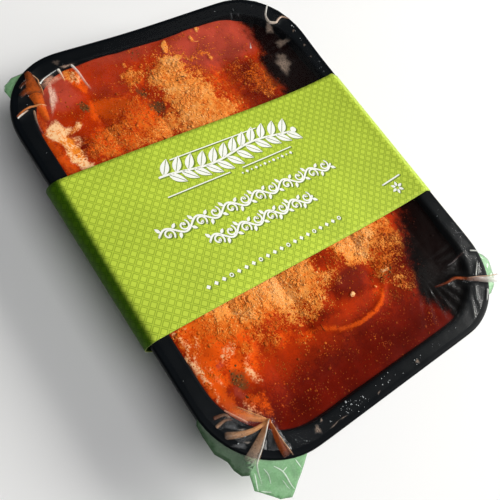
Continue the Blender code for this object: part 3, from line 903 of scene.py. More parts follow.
def sauce_mesh(settings):
    """Points, faces and places of the food's surface, fitted to the tray's wall all round."""
    cell = settings.cell / MM
    xs = np.arange(-HALF_WIDTH, HALF_WIDTH + cell, cell)
    ys = np.arange(-HALF_LENGTH, HALF_LENGTH + cell, cell)
    x, y = np.meshgrid(xs, ys, indexing="ij")
    level, rise = settings.level / MM, settings.tube_rise / MM
    for _ in range(3):
        depth = np.clip(-food_height(x, y, level, rise), 1.4, 30)
        distance, nx, ny = outside(x, y, wall_inset(depth) - 0.25, wall_radius(depth))
        if _ == 0:
            keep = distance < cell * 0.5
            edge = keep & (distance > -cell * 0.5)
        x = np.where(edge, x - distance * nx, x)
        y = np.where(edge, y - distance * ny, y)
    z = FLANGE_TOP + food_height(x, y, level, rise) + corner_lift(x, y)
    index = np.full(x.shape, -1)
    index[keep] = np.arange(keep.sum())
    faces = []
    for i in range(x.shape[0] - 1):
        for j in range(x.shape[1] - 1):
            corners = [index[i, j], index[i + 1, j], index[i + 1, j + 1], index[i, j + 1]]
            corners = [int(c) for c in corners if c >= 0]
            if len(corners) >= 3:
                faces.append(corners)
    return x[keep], y[keep], z[keep], faces


class MEAL_OT_food(bpy.types.Operator):
    """Pours the baked sauce with its melted cheese over the pasta tubes"""

    bl_idname = "meal.food"
    bl_label = "Sauce and Cheese"

    def execute(self, context):
        settings = context.scene.meal_food
        x, y, z, faces = sauce_mesh(settings)
        food = new_piece("baked_filling", list(zip(x, y, z)), faces, food_material(settings), "tomato_sauce")
        for name, values in food_fields(x, y).items():
            store(food, name, values)
        bm = bmesh.new()
        bm.from_mesh(food.data)
        rim = [edge for edge in bm.edges if edge.is_boundary]
        for inset, depth, _ in WALL_PROFILE[2:6]:
            made = bmesh.ops.extrude_edge_only(bm, edges=rim)["geom"]
            verts = [item for item in made if isinstance(item, bmesh.types.BMVert)]
            rim = [item for item in made if isinstance(item, bmesh.types.BMEdge) and item.is_boundary]
            for vert in verts:
                px, py = vert.co.x / MM, vert.co.y / MM
                d, nx, ny = outside(px, py, inset + 0.2, float(wall_radius(depth)))
                vert.co = Vector((px - d * nx, py - d * ny, FLANGE_TOP - depth)) * MM
        bmesh.ops.holes_fill(bm, edges=rim, sides=0)
        bm.to_mesh(food.data)
        bm.free()
        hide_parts("filling")
        return {"FINISHED"}


ICO = (1 + 5**0.5) / 2
ICO_POINTS = np.array(
    [(-1, ICO, 0), (1, ICO, 0), (-1, -ICO, 0), (1, -ICO, 0), (0, -1, ICO), (0, 1, ICO),
     (0, -1, -ICO), (0, 1, -ICO), (ICO, 0, -1), (ICO, 0, 1), (-ICO, 0, -1), (-ICO, 0, 1)]
) / math.hypot(1, ICO)
ICO_FACES = (
    (0, 11, 5), (0, 5, 1), (0, 1, 7), (0, 7, 10), (0, 10, 11), (1, 5, 9), (5, 11, 4), (11, 10, 2),
    (10, 7, 6), (7, 1, 8), (3, 9, 4), (3, 4, 2), (3, 2, 6), (3, 6, 8), (3, 8, 9), (4, 9, 5),
    (2, 4, 11), (6, 2, 10), (8, 6, 7), (9, 8, 1),
)


def scatter(random, count, density):
    """Random places on the food, kept as often as the density there says."""
    kept_x, kept_y = [], []
    total = 0
    for _ in range(60):
        x = random.uniform(-HALF_WIDTH, HALF_WIDTH, 20000)
        y = random.uniform(-HALF_LENGTH, HALF_LENGTH, 20000)
        depth = np.clip(-food_height(x, y), 1.4, 30)
        distance, _nx, _ny = outside(x, y, wall_inset(depth) + 0.4, wall_radius(depth))
        seen = (y > SLEEVE_HIGH.y / MM - 6) | (y < SLEEVE_LOW.y / MM + 6)
        keep = (distance < 0) & seen & (random.uniform(0, 1, x.shape) < density(x, y))
        kept_x.append(x[keep])
        kept_y.append(y[keep])
        total += int(keep.sum())
        if total >= count:
            break
    return np.concatenate(kept_x)[:count], np.concatenate(kept_y)[:count]


def crumb_cloud(random, x, y, sizes, flat=0.2):
    """Joined points and faces of small uneven lumps that sit in the food's surface."""
    z = FLANGE_TOP + food_height(x, y) + corner_lift(x, y)
    count = len(x)
    shape = ICO_POINTS[None] * (1 + random.uniform(-0.28, 0.28, (count, 12, 1)))
    scale = np.stack([sizes * random.uniform(0.7, 1.3, count), sizes * random.uniform(0.6, 1.1, count),
                      sizes * flat * random.uniform(0.7, 1.2, count)], -1) / 2
    shape = shape * scale[:, None]
    turn = random.uniform(0, 2 * math.pi, count)
    c, s = np.cos(turn)[:, None], np.sin(turn)[:, None]
    px = shape[..., 0] * c - shape[..., 1] * s + x[:, None]
    py = shape[..., 0] * s + shape[..., 1] * c + y[:, None]
    pz = shape[..., 2] + z[:, None]
    points = np.stack([px, py, pz], -1).reshape(-1, 3)
    faces = (np.array(ICO_FACES)[None] + 12 * np.arange(count)[:, None, None]).reshape(-1, 3)
    return points, faces.tolist()


def crumb_material(name):
    material, tree, shader = new_material(name)
    colour = node(tree, "ShaderNodeAttribute", attribute_name="tint").outputs["Color"]
    speckle = between(tree, grain(tree, place(tree), 0.5, detail=2.0), 0.25, 0.75, 0.8, 1.15)
    speckle = node(tree, "ShaderNodeCombineColor", {0: speckle, 1: speckle, 2: speckle}).outputs[0]
    tree.links.new(mixed(tree, 1.0, colour, speckle, "MULTIPLY"), shader.inputs["Base Color"])
    shader.inputs["Roughness"].default_value = 0.6
    shader.inputs["Specular IOR Level"].default_value = 0.04
    bump(tree, shader, grain(tree, place(tree), 0.35), 0.3, 0.1)
    return material


def crumb_tints(settings, random, x, y, paler):
    """Each crumb's colour: tan on the cheese, orange where it is oily, brown on open sauce, and darkened at the right
    by painted shade.
    """
    fields = food_fields(x, y)
    tone = fields["tone"] + random.normal(0, 0.22, len(x)) + paler
    tone = tone - 0.3 * fields["warm"] + 0.5 * fields["cream"] - 0.55 * (1 - smooth_step(0.25, 0.95, fields["cheese"]))
    tone = np.maximum(tone - 0.6 * fields["deep"], -0.45 + 0.5 * fields["warm"])
    steps = np.array([-0.45, 0.1, 0.6, 1.3])
    ramp = np.array([CRUMB_BROWN, settings.toasted, settings.cheese, CRUMB_PALE])
    tint = np.stack([np.interp(tone, steps, ramp[:, channel]) for channel in range(3)], -1)
    # Crumbs darken and turn browner towards the right wall: painted shade.
    shade = fields["dark"][:, None]
    tint = tint * (1 - 0.3 * fields["deep"][:, None])
    return tint * (1 - 0.94 * shade) ** 1.7 * (1 - shade * np.array([0.0, 0.45, 0.6]))


def add_crumbs(name, random, x, y, sizes, tints, flat=0.2):
    points, faces = crumb_cloud(random, x, y, sizes, flat)
    piece = new_piece(name, points.tolist(), faces, crumb_material(name), "browned_cheese")
    store_colour(piece, "tint", np.repeat(tints, 12, axis=0))
    return piece


def oily_wall(x, y):
    """Hardly any crumbs lie in the bright oil along the left wall's near half."""
    return 1 - 0.85 * smooth_step(58, 68, -x) * smooth_step(30, 40, -y)


def on_cheese(x, y):
    """Crumbs lie thickly on the cheese and thin out past its edges."""
    fields = food_fields(x, y)
    clumps = 0.12 + 0.88 * smooth_step(-0.3, 0.4, cloud(x, y, 7, 111, 4))
    clumps = clumps * (1 - 0.85 * fields["pit"]) * (1 - 0.75 * fields["dark"])
    return clumps * smooth_step(0.3, 0.8, fields["cheese"]) * oily_wall(x, y)


def off_cheese(x, y):
    """Looser crumbs fall round the edges of the cheese."""
    fields = food_fields(x, y)
    clumps = smooth_step(-0.1, 0.5, cloud(x, y, 6, 141, 4))
    return (0.15 + 0.85 * clumps) * fields["halo"] ** 1.5 * (1 - 0.6 * fields["cheese"]) * (1 - 0.7 * fields["dark"]) * oily_wall(x, y)


def on_sauce(x, y):
    """Single crumbs drift over the open sauce in loose clusters."""
    fields = food_fields(x, y)
    clumps = smooth_step(0.0, 0.6, cloud(x, y, 6, 121, 4))
    return (0.03 + 0.97 * clumps * fields["drift"]) * (1 - 0.7 * fields["cheese"]) * (1 - 0.5 * fields["dark"])


class MEAL_OT_crumbs(bpy.types.Operator):
    """Scatters pale, orange and toasted crumbs of cheese over the food"""

    bl_idname = "meal.crumbs"
    bl_label = "Cheese Crumbs"

    def execute(self, context):
        settings = context.scene.meal_food
        random = np.random.RandomState(settings.seed)
        size = settings.crumb_size / MM
        kinds = (
            ("crumbs_thick", on_cheese, 0.42, 0.85, 0.35),
            ("crumbs_loose", off_cheese, 0.9, 1.15, 0.15),
            ("crumbs_adrift", on_sauce, 0.5, 0.8, 0.1),
        )
        for name, density, share, scale, paler in kinds:
            x, y = scatter(random, int(settings.crumbs * share), density)
            sizes = np.clip(size * scale * random.lognormal(0, 0.38, len(x)), 0.3, 2.4)
            add_crumbs(name, random, x, y, sizes, crumb_tints(settings, random, x, y, paler))
        return {"FINISHED"}


class MEAL_OT_shreds(bpy.types.Operator):
    """Lays short curled shreds of grated cheese on the food"""

    bl_idname = "meal.shreds"
    bl_label = "Cheese Shreds"

    def execute(self, context):
        settings = context.scene.meal_food
        random = np.random.RandomState(settings.seed + 1)
        x, y = scatter(random, settings.shreds, lambda a, b: 0.4 * on_cheese(a, b) + 0.6 * off_cheese(a, b))
        count, steps, sides = len(x), 6, 5
        length = random.uniform(1.6, 4.2, (count, 1))
        width = random.uniform(0.22, 0.42, (count, 1))
        along = np.arange(steps + 1)[None]
        angle = random.uniform(0, 2 * math.pi, (count, 1)) + random.uniform(-0.25, 0.25, (count, 1)) * (along - steps / 2)
        px = x[:, None] + np.cumsum(length / steps * np.cos(angle), 1)
        py = y[:, None] + np.cumsum(length / steps * np.sin(angle), 1)
        pz = FLANGE_TOP + food_height(px, py) + corner_lift(px, py) + 0.05
        taper = width * (0.45 + 0.55 * np.sin(math.pi * (along + 0.5) / (steps + 1)))
        turn = 2 * math.pi * np.arange(sides) / sides
        across, up = taper[..., None] * np.cos(turn), 0.45 * taper[..., None] * np.sin(turn)
        points = np.stack([px[..., None] - across * np.sin(angle)[..., None],
                           py[..., None] + across * np.cos(angle)[..., None], pz[..., None] + up], -1).reshape(-1, 3)
        tints = np.repeat(crumb_tints(settings, random, x, y, 0.25), (steps + 1) * sides, axis=0)
        faces = []
        for start in range(0, len(points), (steps + 1) * sides):
            for step in range(steps):
                for side in range(sides):
                    a, b = start + step * sides + side, start + step * sides + (side + 1) % sides
                    faces.append((a, b, b + sides, a + sides))
            faces.append(tuple(range(start + sides - 1, start - 1, -1)))
            faces.append(tuple(range(start + steps * sides, start + (steps + 1) * sides)))
        material = crumb_material("cheese_shreds")
        shreds = new_piece("cheese_shreds", points.tolist(), faces, material, "browned_cheese")
        store_colour(shreds, "tint", tints)
        return {"FINISHED"}


class MEAL_OT_herbs(bpy.types.Operator):
    """Scatters dried herb flakes in their few clusters"""

    bl_idname = "meal.herbs"
    bl_label = "Herbs"

    def execute(self, context):
        settings = context.scene.meal_food
        random = np.random.RandomState(settings.seed + 2)
        spread_x, spread_y, sizes = [], [], []
        for cx, cy, rx, ry, _, strength in HERBS:
            count = int(30 * strength)
            spread_x.append(cx + rx * random.normal(0, 0.5, count))
            spread_y.append(cy + ry * random.normal(0, 0.5, count))
            sizes.append(random.uniform(0.5, 1.3, count))
        x, y = scatter(random, 14, lambda a, b: 0.3 * on_cheese(a, b))
        x = np.concatenate(spread_x + [x])
        y = np.concatenate(spread_y + [y])
        sizes = np.concatenate(sizes + [random.uniform(0.4, 0.9, 14)])[: len(x)]
        share = random.uniform(0, 1, (len(x), 1))
        # Herb flakes darken at the right wall with the same painted shade.
        tints = (np.array(HERB_DARK) * (1 - share) + np.array(HERB_LIGHT) * share) * (1 - 0.9 * painted_wall_shade(x, y)[:, None])
        flakes = add_crumbs("herb_flakes", random, x, y, sizes, tints, flat=0.35)
        return {"FINISHED"}


# ---- Film -----------------------------------------------------------------------------------


def smooth_line(points, steps):
    """A smooth line through points: their x, y and share of the way."""
    padded = np.array((points[0],) + tuple(points) + (points[-1],), float)
    at = np.linspace(0, len(points) - 1, steps + 1)
    piece = np.minimum(at.astype(int), len(points) - 2)
    t = (at - piece)[:, None]
    a, b, c, d = (padded[piece + k] for k in range(4))
    line = 0.5 * (2 * b + (c - a) * t + (2 * a - 5 * b + 4 * c - d) * t**2 + (3 * b - a - 3 * c + d) * t**3)
    return line[:, 0], line[:, 1], at / (len(points) - 1)


def film_height(x, y, sag, pleat):
    """Height of the film above the flange: flat on the flange, sagging inside, tented along its folds."""
    x = np.asarray(x, float)
    y = np.asarray(y, float)
    inside = np.maximum(-outside(x, y, 8.5, 37.0)[0], 0.0)
    across = np.clip(np.abs(x) / (HALF_WIDTH - 8.5), 0, 1)
    along = np.clip(np.abs(y) / (HALF_LENGTH - 8.5), 0, 1)
    height = 0.32 - sag * (1 - across**4) * (1 - along**4) * smooth_step(0, 5, inside)
    for cx, cy in ((61, 85), (-61, 85), (-61, -85), (61, -85)):
        angle = np.arctan2(np.abs(y) - abs(cy) + 12, np.abs(x) - abs(cx) + 12)
        reach = np.hypot(x - cx, y - cy)
        ripple = np.sin(angle * 26 + cx * 0.7 + cy * 0.3) * smooth_step(0, 10, reach) * (reach < 60)
        near = np.exp(-((np.maximum(reach - 26, 0) / 9) ** 2)) * (np.sign(x) == np.sign(cx)) * (np.sign(y) == np.sign(cy))
        height = height + pleat * 0.5 * ripple * near * smooth_step(0, 5, inside)
    for points, (start, end), rise, _, _ in FOLDS:
        distance, t = distance_to_path(x, y, points)
        reach = 0.5 + 0.7 * (start + (end - start) * t)
        bulge = smooth_step(0, 1, 1 - distance / reach)
        height = height + rise * bulge * np.sqrt(np.clip(4 * t * (1 - t) + 0.25, 0, 1))
    height = height + cloud(x, y, 26, 131, 2) * 0.35 * smooth_step(2, 18, inside)
    return height + corner_lift(x, y)


def film_haze(x, y):
    """How milky the film is: on the sealed flange and where it is creased."""
    seal, _, _ = outside(x, y, 5.5, 37.4)
    haze = 0.0025 * np.exp(-((seal / 2.6) ** 2)) * (0.5 + 0.5 * smooth_step(-0.4, 0.4, cloud(x, y, 5, 141)))
    for points, (start, end), _, _, cover in FOLDS:
        distance, _ = distance_to_path(x, y, points)
        haze = np.maximum(haze, 0.012 * cover[0] * np.exp(-((distance / (0.6 + 0.5 * (start + end))) ** 2)))
    return haze


def clear_shader(tree, tint, milk, cover, roughness, normal_height=None, strength=0.3):
    """Clear plastic: see-through with a tint, partly milky, with a gloss over both."""
    clear = node(tree, "ShaderNodeBsdfTransparent", {"Color": tint})
    body = node(tree, "ShaderNodeBsdfDiffuse", {"Color": milk})
    gloss = node(tree, "ShaderNodeBsdfGlossy", {"Roughness": roughness})
    rim = node(tree, "ShaderNodeLayerWeight", {"Blend": 0.5})
    if normal_height is not None:
        made = node(tree, "ShaderNodeBump", {"Height": normal_height, "Strength": strength, "Distance": 0.3 * MM})
        tree.links.new(made.outputs[0], gloss.inputs["Normal"])
        tree.links.new(made.outputs[0], rim.inputs["Normal"])
    milky = node(tree, "ShaderNodeMixShader", {0: cover, 1: clear.outputs[0], 2: body.outputs[0]})
    mirrored = maths(tree, "ADD", maths(tree, "POWER", rim.outputs["Facing"], 5.0), FILM_MIRROR, clamp=True)
    whole = node(tree, "ShaderNodeMixShader", {0: mirrored, 1: milky.outputs[0], 2: gloss.outputs[0]})
    tree.links.new(whole.outputs[0], tree.nodes["Material Output"].inputs["Surface"])


def film_material(settings):
    material, tree, shader = new_material("clear_film")
    tree.nodes.remove(shader)
    ripple = grain(tree, place(tree), 6.0, detail=2.0)
    clear_shader(tree, (0.985, 0.99, 0.985, 1), (0.8, 0.82, 0.82, 1), field(tree, "haze"), settings.roughness, ripple)
    return material


class MEAL_OT_film(bpy.types.Operator):
    """Seals the clear film on the flange, sagging over the food and tented at its folds"""

    bl_idname = "meal.film"
    bl_label = "Film"

    def execute(self, context):
        settings = context.scene.meal_film
        insets = [3.0, 3.8, 4.6, 5.5, 6.5, 7.6, 8.6, 9.6, 10.8]
        while insets[-1] < 84:
            insets.append(insets[-1] + min(1.15 + 0.03 * (insets[-1] - 10), 3.4))
        rings = []
        for inset in insets:
            radius = max(38 - max(inset - 3, 0) * 0.85, 2.5)
            radius = min(radius, HALF_WIDTH - inset - 0.5)
            rings.append([(x, y) for x, y, *_ in outline(inset, max(radius, 0.5), 34, 60)])
        flat = np.array([point for ring in rings for point in ring])
        z = FLANGE_TOP + film_height(flat[:, 0], flat[:, 1], settings.sag / MM, settings.pleat / MM)
        points = np.column_stack([flat, z])
        _, faces = loft(rings, cap=True)
        film = new_piece("film_lid", points.tolist(), faces, film_material(settings), "clear_film")
        store(film, "haze", film_haze(flat[:, 0], flat[:, 1]))
        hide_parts("film")
        return {"FINISHED"}


def fold_material():
    material, tree, shader = new_material("film_fold_and_highlight")
    tree.nodes.remove(shader)
    colour = node(tree, "ShaderNodeAttribute", attribute_name="tint").outputs["Color"]
    streak = grain(tree, place(tree), 1.1, detail=3.0, roughness=0.7)
    cover = maths(tree, "MULTIPLY", field(tree, "cover"), between(tree, streak, 0.3, 0.6, 0.75, 1.08), clamp=True)
    clear_shader(tree, (0.95, 0.95, 0.95, 1), colour, cover, 0.2, streak, 0.4)
    return material


class MEAL_OT_folds(bpy.types.Operator):
    """Adds the crisp creases that stand up from the film at its corners, with their colours and painted highlights"""

    bl_idname = "meal.folds"
    bl_label = "Film Folds"

    def execute(self, context):
        settings = context.scene.meal_film
        sag, pleat = settings.sag / MM, settings.pleat / MM
        px, py, tints, covers, faces = [], [], [], [], []
        steps = 26
        lanes = np.array((-1.0, -0.5, 0.0, 0.5, 1.0))
        for points, (first, last), _, (from_tint, to_tint), (from_cover, to_cover) in FOLDS:
            x, y, t = smooth_line(points, steps)
            angle = np.arctan2(np.gradient(y), np.gradient(x))
            half = (first + (last - first) * t) / 2 * np.clip(12 * np.minimum(t + 0.02, 1.02 - t), 0.05, 1) ** 0.5
            start = len(px) * len(lanes)
            for k in range(steps + 1):
                share = t[k]
                px.append(x[k] - half[k] * lanes * math.sin(angle[k]))
                py.append(y[k] + half[k] * lanes * math.cos(angle[k]))
                mix = np.array(FOLD_TINTS[from_tint]) * (1 - share) + np.array(FOLD_TINTS[to_tint]) * share
                tints += [mix] * len(lanes)
                fade = min(1.0, 4 * (1.05 - share)) * (1 - (0.95 if from_tint == "grey" else 0.3) * lanes**2)
                covers += list((from_cover * (1 - share) + to_cover * share) * fade)
            for k in range(steps):
                for lane in range(len(lanes) - 1):
                    a = start + k * len(lanes) + lane
                    faces.append((a, a + len(lanes), a + len(lanes) + 1, a + 1))
        px, py = np.array(px).ravel(), np.array(py).ravel()
        raised = np.tile(0.12 + 0.2 * (1 - np.abs(lanes)), len(px) // len(lanes))
        pz = FLANGE_TOP + film_height(px, py, sag, pleat) + raised
        points = np.column_stack([px, py, pz]).tolist()
        folds = new_piece("film_folds", points, faces, fold_material(), "clear_film")
        store_colour(folds, "tint", tints)
        store(folds, "cover", covers)
        return {"FINISHED"}


def tab_material(name, tab_tint, milkiness):
    material, tree, shader = new_material(name)
    tree.nodes.remove(shader)
    where = place(tree)
    creases = grain(tree, where, 4.0, detail=3.0, roughness=0.55)
    tint = mixed(tree, creases, [c * 0.92 for c in tab_tint], [min(c * 1.08, 1) for c in tab_tint])
    fine = between(tree, grain(tree, where, 0.7, detail=3.0), 0.35, 0.7)
    milk = mixed(tree, fine, [c * milkiness for c in (0.3, 0.52, 0.29)], [c * milkiness for c in (0.38, 0.62, 0.37)])
    cover = between(tree, creases, 0.3, 0.7, 0.5, 0.7)
    clear_shader(tree, tint, milk, cover, 0.25, creases, 0.4)
    return material


def tab_height(x, y, droop):
    """Height of a loose tab: it hangs lower the further it reaches, over flat facets with small creases."""
    past_lip = np.maximum(outside(x, y, 0.0, 39.0)[0], 0)
    under = np.maximum(-outside(x, y, 1.5, 39.0)[0], 0)
    facets = np.abs(cloud(x, y, 9, 151, 2)) * 2.2 + cloud(x, y, 3, 161, 2) * 0.35
    loose = smooth_step(0, 6, past_lip + 1.5)
    sunk = TAB_DROP + 0.3 * smooth_step(0, 3, under)
    return FLANGE_TOP - droop * past_lip + facets * loose * 0.6 - sunk + corner_lift(x, y)


def inside_polygon(x, y, polygon):
    inside = False
    for (x0, y0), (x1, y1) in zip(polygon, polygon[1:] + polygon[:1]):
        if (y0 > y) != (y1 > y) and x < (x1 - x0) * (y - y0) / (y1 - y0) + x0:
            inside = not inside
    return inside


def filled_outline(polygon, cell):
    """Points and triangles that fill an outline with an even net."""
    polygon = [tuple(map(float, point)) for point in polygon]
    edge = []
    for (x0, y0), (x1, y1) in zip(polygon, polygon[1:] + polygon[:1]):
        steps = max(1, round(math.hypot(x1 - x0, y1 - y0) / cell))
        edge += [(x0 + (x1 - x0) * k / steps, y0 + (y1 - y0) * k / steps) for k in range(steps)]
    xs, ys = [p[0] for p in polygon], [p[1] for p in polygon]
    net = []
    for row, y in enumerate(np.arange(min(ys), max(ys), cell * 0.87)):
        for x in np.arange(min(xs) + (row % 2) * cell / 2, max(xs), cell):
            close = min(math.hypot(x - ex, y - ey) for ex, ey in edge)
            if close > cell * 0.55 and inside_polygon(x, y, polygon):
                net.append((x, y))
    ring = list(range(len(edge)))
    made = delaunay_2d_cdt([Vector(p) for p in edge + net], [], [ring], 1, 1e-5)
    return [tuple(v) for v in made[0]], [tuple(f) for f in made[2]]


class MEAL_OT_tabs(bpy.types.Operator):
    """Hangs the film's loose green tabs out past the tray's corners"""

    bl_idname = "meal.tabs"
    bl_label = "Film Tabs"

    def execute(self, context):
        settings = context.scene.meal_film
        material = tab_material("green_film_tab", settings.tab_tint, 1.0)
        # A darker copy of the tab material: painted shade for the tabs in shadow.
        shaded = tab_material("green_film_tab_shade", [c * 0.6 for c in settings.tab_tint], 0.28)
        for name, polygon in TABS.items():
            rooted = []
            for x, y in polygon:
                d, nx, ny = outside(x, y, 0.0, 39.0)
                push = max(-TAB_ROOT - float(d), 0)
                rooted.append((x + push * float(nx), y + push * float(ny)))
            flat, faces = filled_outline(rooted, 1.3)
            x = np.array([p[0] for p in flat])
            y = np.array([p[1] for p in flat])
            z = tab_height(x, y, settings.droop)
            tab = new_piece(name, list(zip(x, y, z)), faces, shaded if name in SHADED_TABS else material, "clear_film")
            thick = tab.modifiers.new("Thickness", "SOLIDIFY")
            thick.thickness = 0.05 * MM
            thick.offset = 0.0
        self.add_creases(settings)
        return {"FINISHED"}

    def add_creases(self, settings):
        """Fine white creases that catch the light on the loose tabs."""
        points, faces = [], []
        steps = 12
        for path, width in TAB_CREASES:
            x, y, t = smooth_line(path, steps)
            angle = np.arctan2(np.gradient(y), np.gradient(x))
            half = width / 2 * np.sin(math.pi * np.clip(t, 0.06, 0.94)) ** 0.5
            left = (x - half * np.sin(angle), y + half * np.cos(angle))
            right = (x + half * np.sin(angle), y - half * np.cos(angle))
            start = len(points)
            for side_x, side_y in (left, (x, y), right):
                z = tab_height(side_x, side_y, settings.droop) + 0.12
                points += list(zip(side_x, side_y, z))
            for lane in range(2):
                for k in range(steps):
                    a = start + lane * (steps + 1) + k
                    faces.append((a, a + 1, a + steps + 2, a + steps + 1))
        material, tree, shader = new_material("white_crease")
        pale = mixed(tree, grain(tree, place(tree), 0.8), (0.45, 0.62, 0.45), (0.8, 0.84, 0.78))
        tree.links.new(pale, shader.inputs["Base Color"])
        shader.inputs["Roughness"].default_value = 0.3
        new_piece("tab_creases", points, faces, material, "clear_film")


# Milky patches where the film touches food or seal, with painted highlights (grey and blush) and a painted reflection
# (rose) on the film: x, y, half sizes, turn, cover, tint.
PATCHES = (
    (62.6, 63.0, 5.0, 6.6, -22, 0.62, "smoke"),
    (64.6, 68.0, 3.6, 3.6, 0, 0.4, "smoke"),
    (70.5, 76.4, 5.6, 2.6, 6, 0.34, "smoke"),
    (68.6, 87.5, 2.6, 5.0, -24, 0.45, "smoke"),
    (-47.8, -107.6, 1.7, 2.1, -10, 0.6, "smoke"),
    (13.8, -109.2, 1.2, 1.2, 0, 0.6, "smoke"),
    (-44, -105.4, 1.0, 0.6, 40, 0.6, "smoke"),
    (-40, -110.0, 3.2, 0.35, 8, 0.5, "smoke"),
    (-34.5, -109.8, 2.2, 0.3, -5, 0.5, "smoke"),
    (-13, -110.2, 1.4, 0.4, 20, 0.5, "smoke"),
    (82.5, 81, 1.6, 0.7, 30, 0.35, "smoke"),
    (83.3, 70.3, 1.2, 0.8, 30, 0.4, "smoke"),
    (82, 62, 0.8, 0.6, 0, 0.35, "smoke"),
    (-53.5, 106.8, 2.2, 1.9, 0, 0.22, "smoke"),
    (-65, 88.5, 2.3, 10.0, -22, 0.72, "blush_highlight"),
    (-61, 97.6, 7.0, 3.0, 8, 0.6, "rose_reflection"),
    (-78.6, -87.4, 3.4, 1.3, -42, 0.3, "grey"),
    (-80.0, -95.2, 3.2, 1.2, -34, 0.34, "grey"),
    (-76.0, -90.2, 2.0, 0.6, -30, 0.4, "pale"),
    (-76.8, -95.6, 1.8, 0.5, -30, 0.35, "pale"),
    (-50, 103.2, 4.0, 1.0, 0, 0.3, "blush_highlight"),
)


class MEAL_OT_droplets(bpy.types.Operator):
    """Adds specks of moisture on the flange and the milky patches of the film, with its painted highlights and
    reflection
    """

    bl_idname = "meal.droplets"
    bl_label = "Droplets and Patches"

    def execute(self, context):
        settings = context.scene.meal_film
        random = np.random.RandomState(5)
        sag, pleat = settings.sag / MM, settings.pleat / MM
        x = random.uniform(-HALF_WIDTH, HALF_WIDTH, 90000)
        y = random.uniform(-HALF_LENGTH, HALF_LENGTH, 90000)
        seal = outside(x, y, 5.6, 37.4)[0]
        near = np.where(y < -85, 1.0, 0.12) + 0.25 * (x > 80)
        clumps = smooth_step(0.0, 0.6, cloud(x, y, 9, 171, 3))
        chance = np.exp(-((seal / 2.0) ** 2)) * near * (0.06 + clumps)
        keep = np.flatnonzero(random.uniform(0, 1, x.shape) < chance)[: settings.droplets]
        x, y = x[keep], y[keep]
        sizes = np.clip(random.lognormal(-1.05, 0.5, len(x)), 0.14, 1.1)
        points, faces = crumb_cloud(random, x, y, sizes, 0.3)
        lift = film_height(x, y, sag, pleat) - food_height(x, y) - corner_lift(x, y)
        points[:, 2] += np.repeat(lift, 12)
        material, tree, shader = new_material("moisture")
        shader.inputs["Base Color"].default_value = (0.42, 0.45, 0.46, 1)
        shader.inputs["Roughness"].default_value = 0.35
        bump(tree, shader, grain(tree, place(tree), 0.4), 0.5, 0.1)
        new_piece("flange_droplets", points.tolist(), faces, material, "clear_film")
        self.add_patches(sag, pleat)
        return {"FINISHED"}

    def add_patches(self, sag, pleat):
        flat, faces, covers, tints = [], [], [], []
        spokes, rings = 28, 7
        for number, (cx, cy, rx, ry, turn, cover, tint) in enumerate(PATCHES):
            first = len(flat)
            c, s = math.cos(math.radians(turn)), math.sin(math.radians(turn))
            for ring in range(rings + 1):
                for spoke in range(spokes):
                    angle = 2 * math.pi * spoke / spokes
                    ragged = 1 + 0.22 * math.sin(3 * angle + number) + 0.12 * math.sin(7 * angle + 2 * number)
                    reach = ring / rings * ragged
                    u, v = rx * reach * math.cos(angle), ry * reach * math.sin(angle)
                    flat.append((cx + u * c - v * s, cy + u * s + v * c))
                    covers.append(cover * (1 - smooth_step(0.3, 1.0, ring / rings)))
                    tints.append(FOLD_TINTS[tint])
            for ring in range(rings):
                for spoke in range(spokes):
                    a, b = first + ring * spokes + spoke, first + ring * spokes + (spoke + 1) % spokes
                    faces.append((a, b, b + spokes, a + spokes))
        flat = np.array(flat)
        height = FLANGE_TOP + film_height(flat[:, 0], flat[:, 1], sag, pleat) + 0.1
        points = np.column_stack([flat, height]).tolist()
        material, tree, shader = new_material("milky_patch_and_highlight")
        tree.nodes.remove(shader)
        streak = grain(tree, place(tree), 0.8, detail=3.0)
        cover = maths(tree, "MULTIPLY", field(tree, "cover"), between(tree, streak, 0.3, 0.65, 0.55, 1.2), clamp=True)
        colour = node(tree, "ShaderNodeAttribute", attribute_name="tint").outputs["Color"]
        clear_shader(tree, (1, 1, 1, 1), colour, cover, 0.3)
        patches = new_piece("film_patches", points, faces, material, "clear_film")
        store(patches, "cover", covers)
        store_colour(patches, "tint", tints)


# ---- Sleeve ---------------------------------------------------------------------------------

FOLD_RADIUS = 1.6
SHOULDER_RADIUS = 6.1
CREASE_RADIUS = 3.0
LIP_WRAP_RADIUS = 3.4
UNDERSIDE_HALF_WIDTH = 70.5
GLUE_FLAP = 26.0
OUTER_PANEL_END = -68.0
CARD_GAP = 0.3
TOP_DIP = 3.6
TOP_DIP_PLACE = 0.75
TOP_DIP_BEFORE = 2.7
TOP_DIP_AFTER = 0.9
# Painted shade on the sleeve's left side panel, which turns away from the light: where it starts across the card, its
# slant along the card, and the colour it multiplies by.
SIDE_SHADE_EDGE = (-86.8, -83.4)
SIDE_SHADE_SLANT = 0.03
SIDE_SHADE = (0.085, 0.17, 0.02)


def belt_path(rollers):
    """Arcs clockwise round the rollers (x, z, radius), joined by their common tangents."""
    normals = []
    for (x1, z1, r1), (x2, z2, r2) in zip(rollers, rollers[1:]):
        heading = math.atan2(z2 - z1, x2 - x1)
        normals.append(heading + math.acos((r1 - r2) / math.hypot(x2 - x1, z2 - z1)))
    down = -math.pi / 2
    path = []
    for (x, z, radius), start, end in zip(rollers, [down] + normals, normals + [down]):
        sweep = (start - end) % (2 * math.pi)
        steps = max(3, round(sweep / math.radians(7)))
        for step in range(steps + 1):
            turn = start - sweep * step / steps
            path.append((x + radius * math.cos(turn), z + radius * math.sin(turn)))
    return path


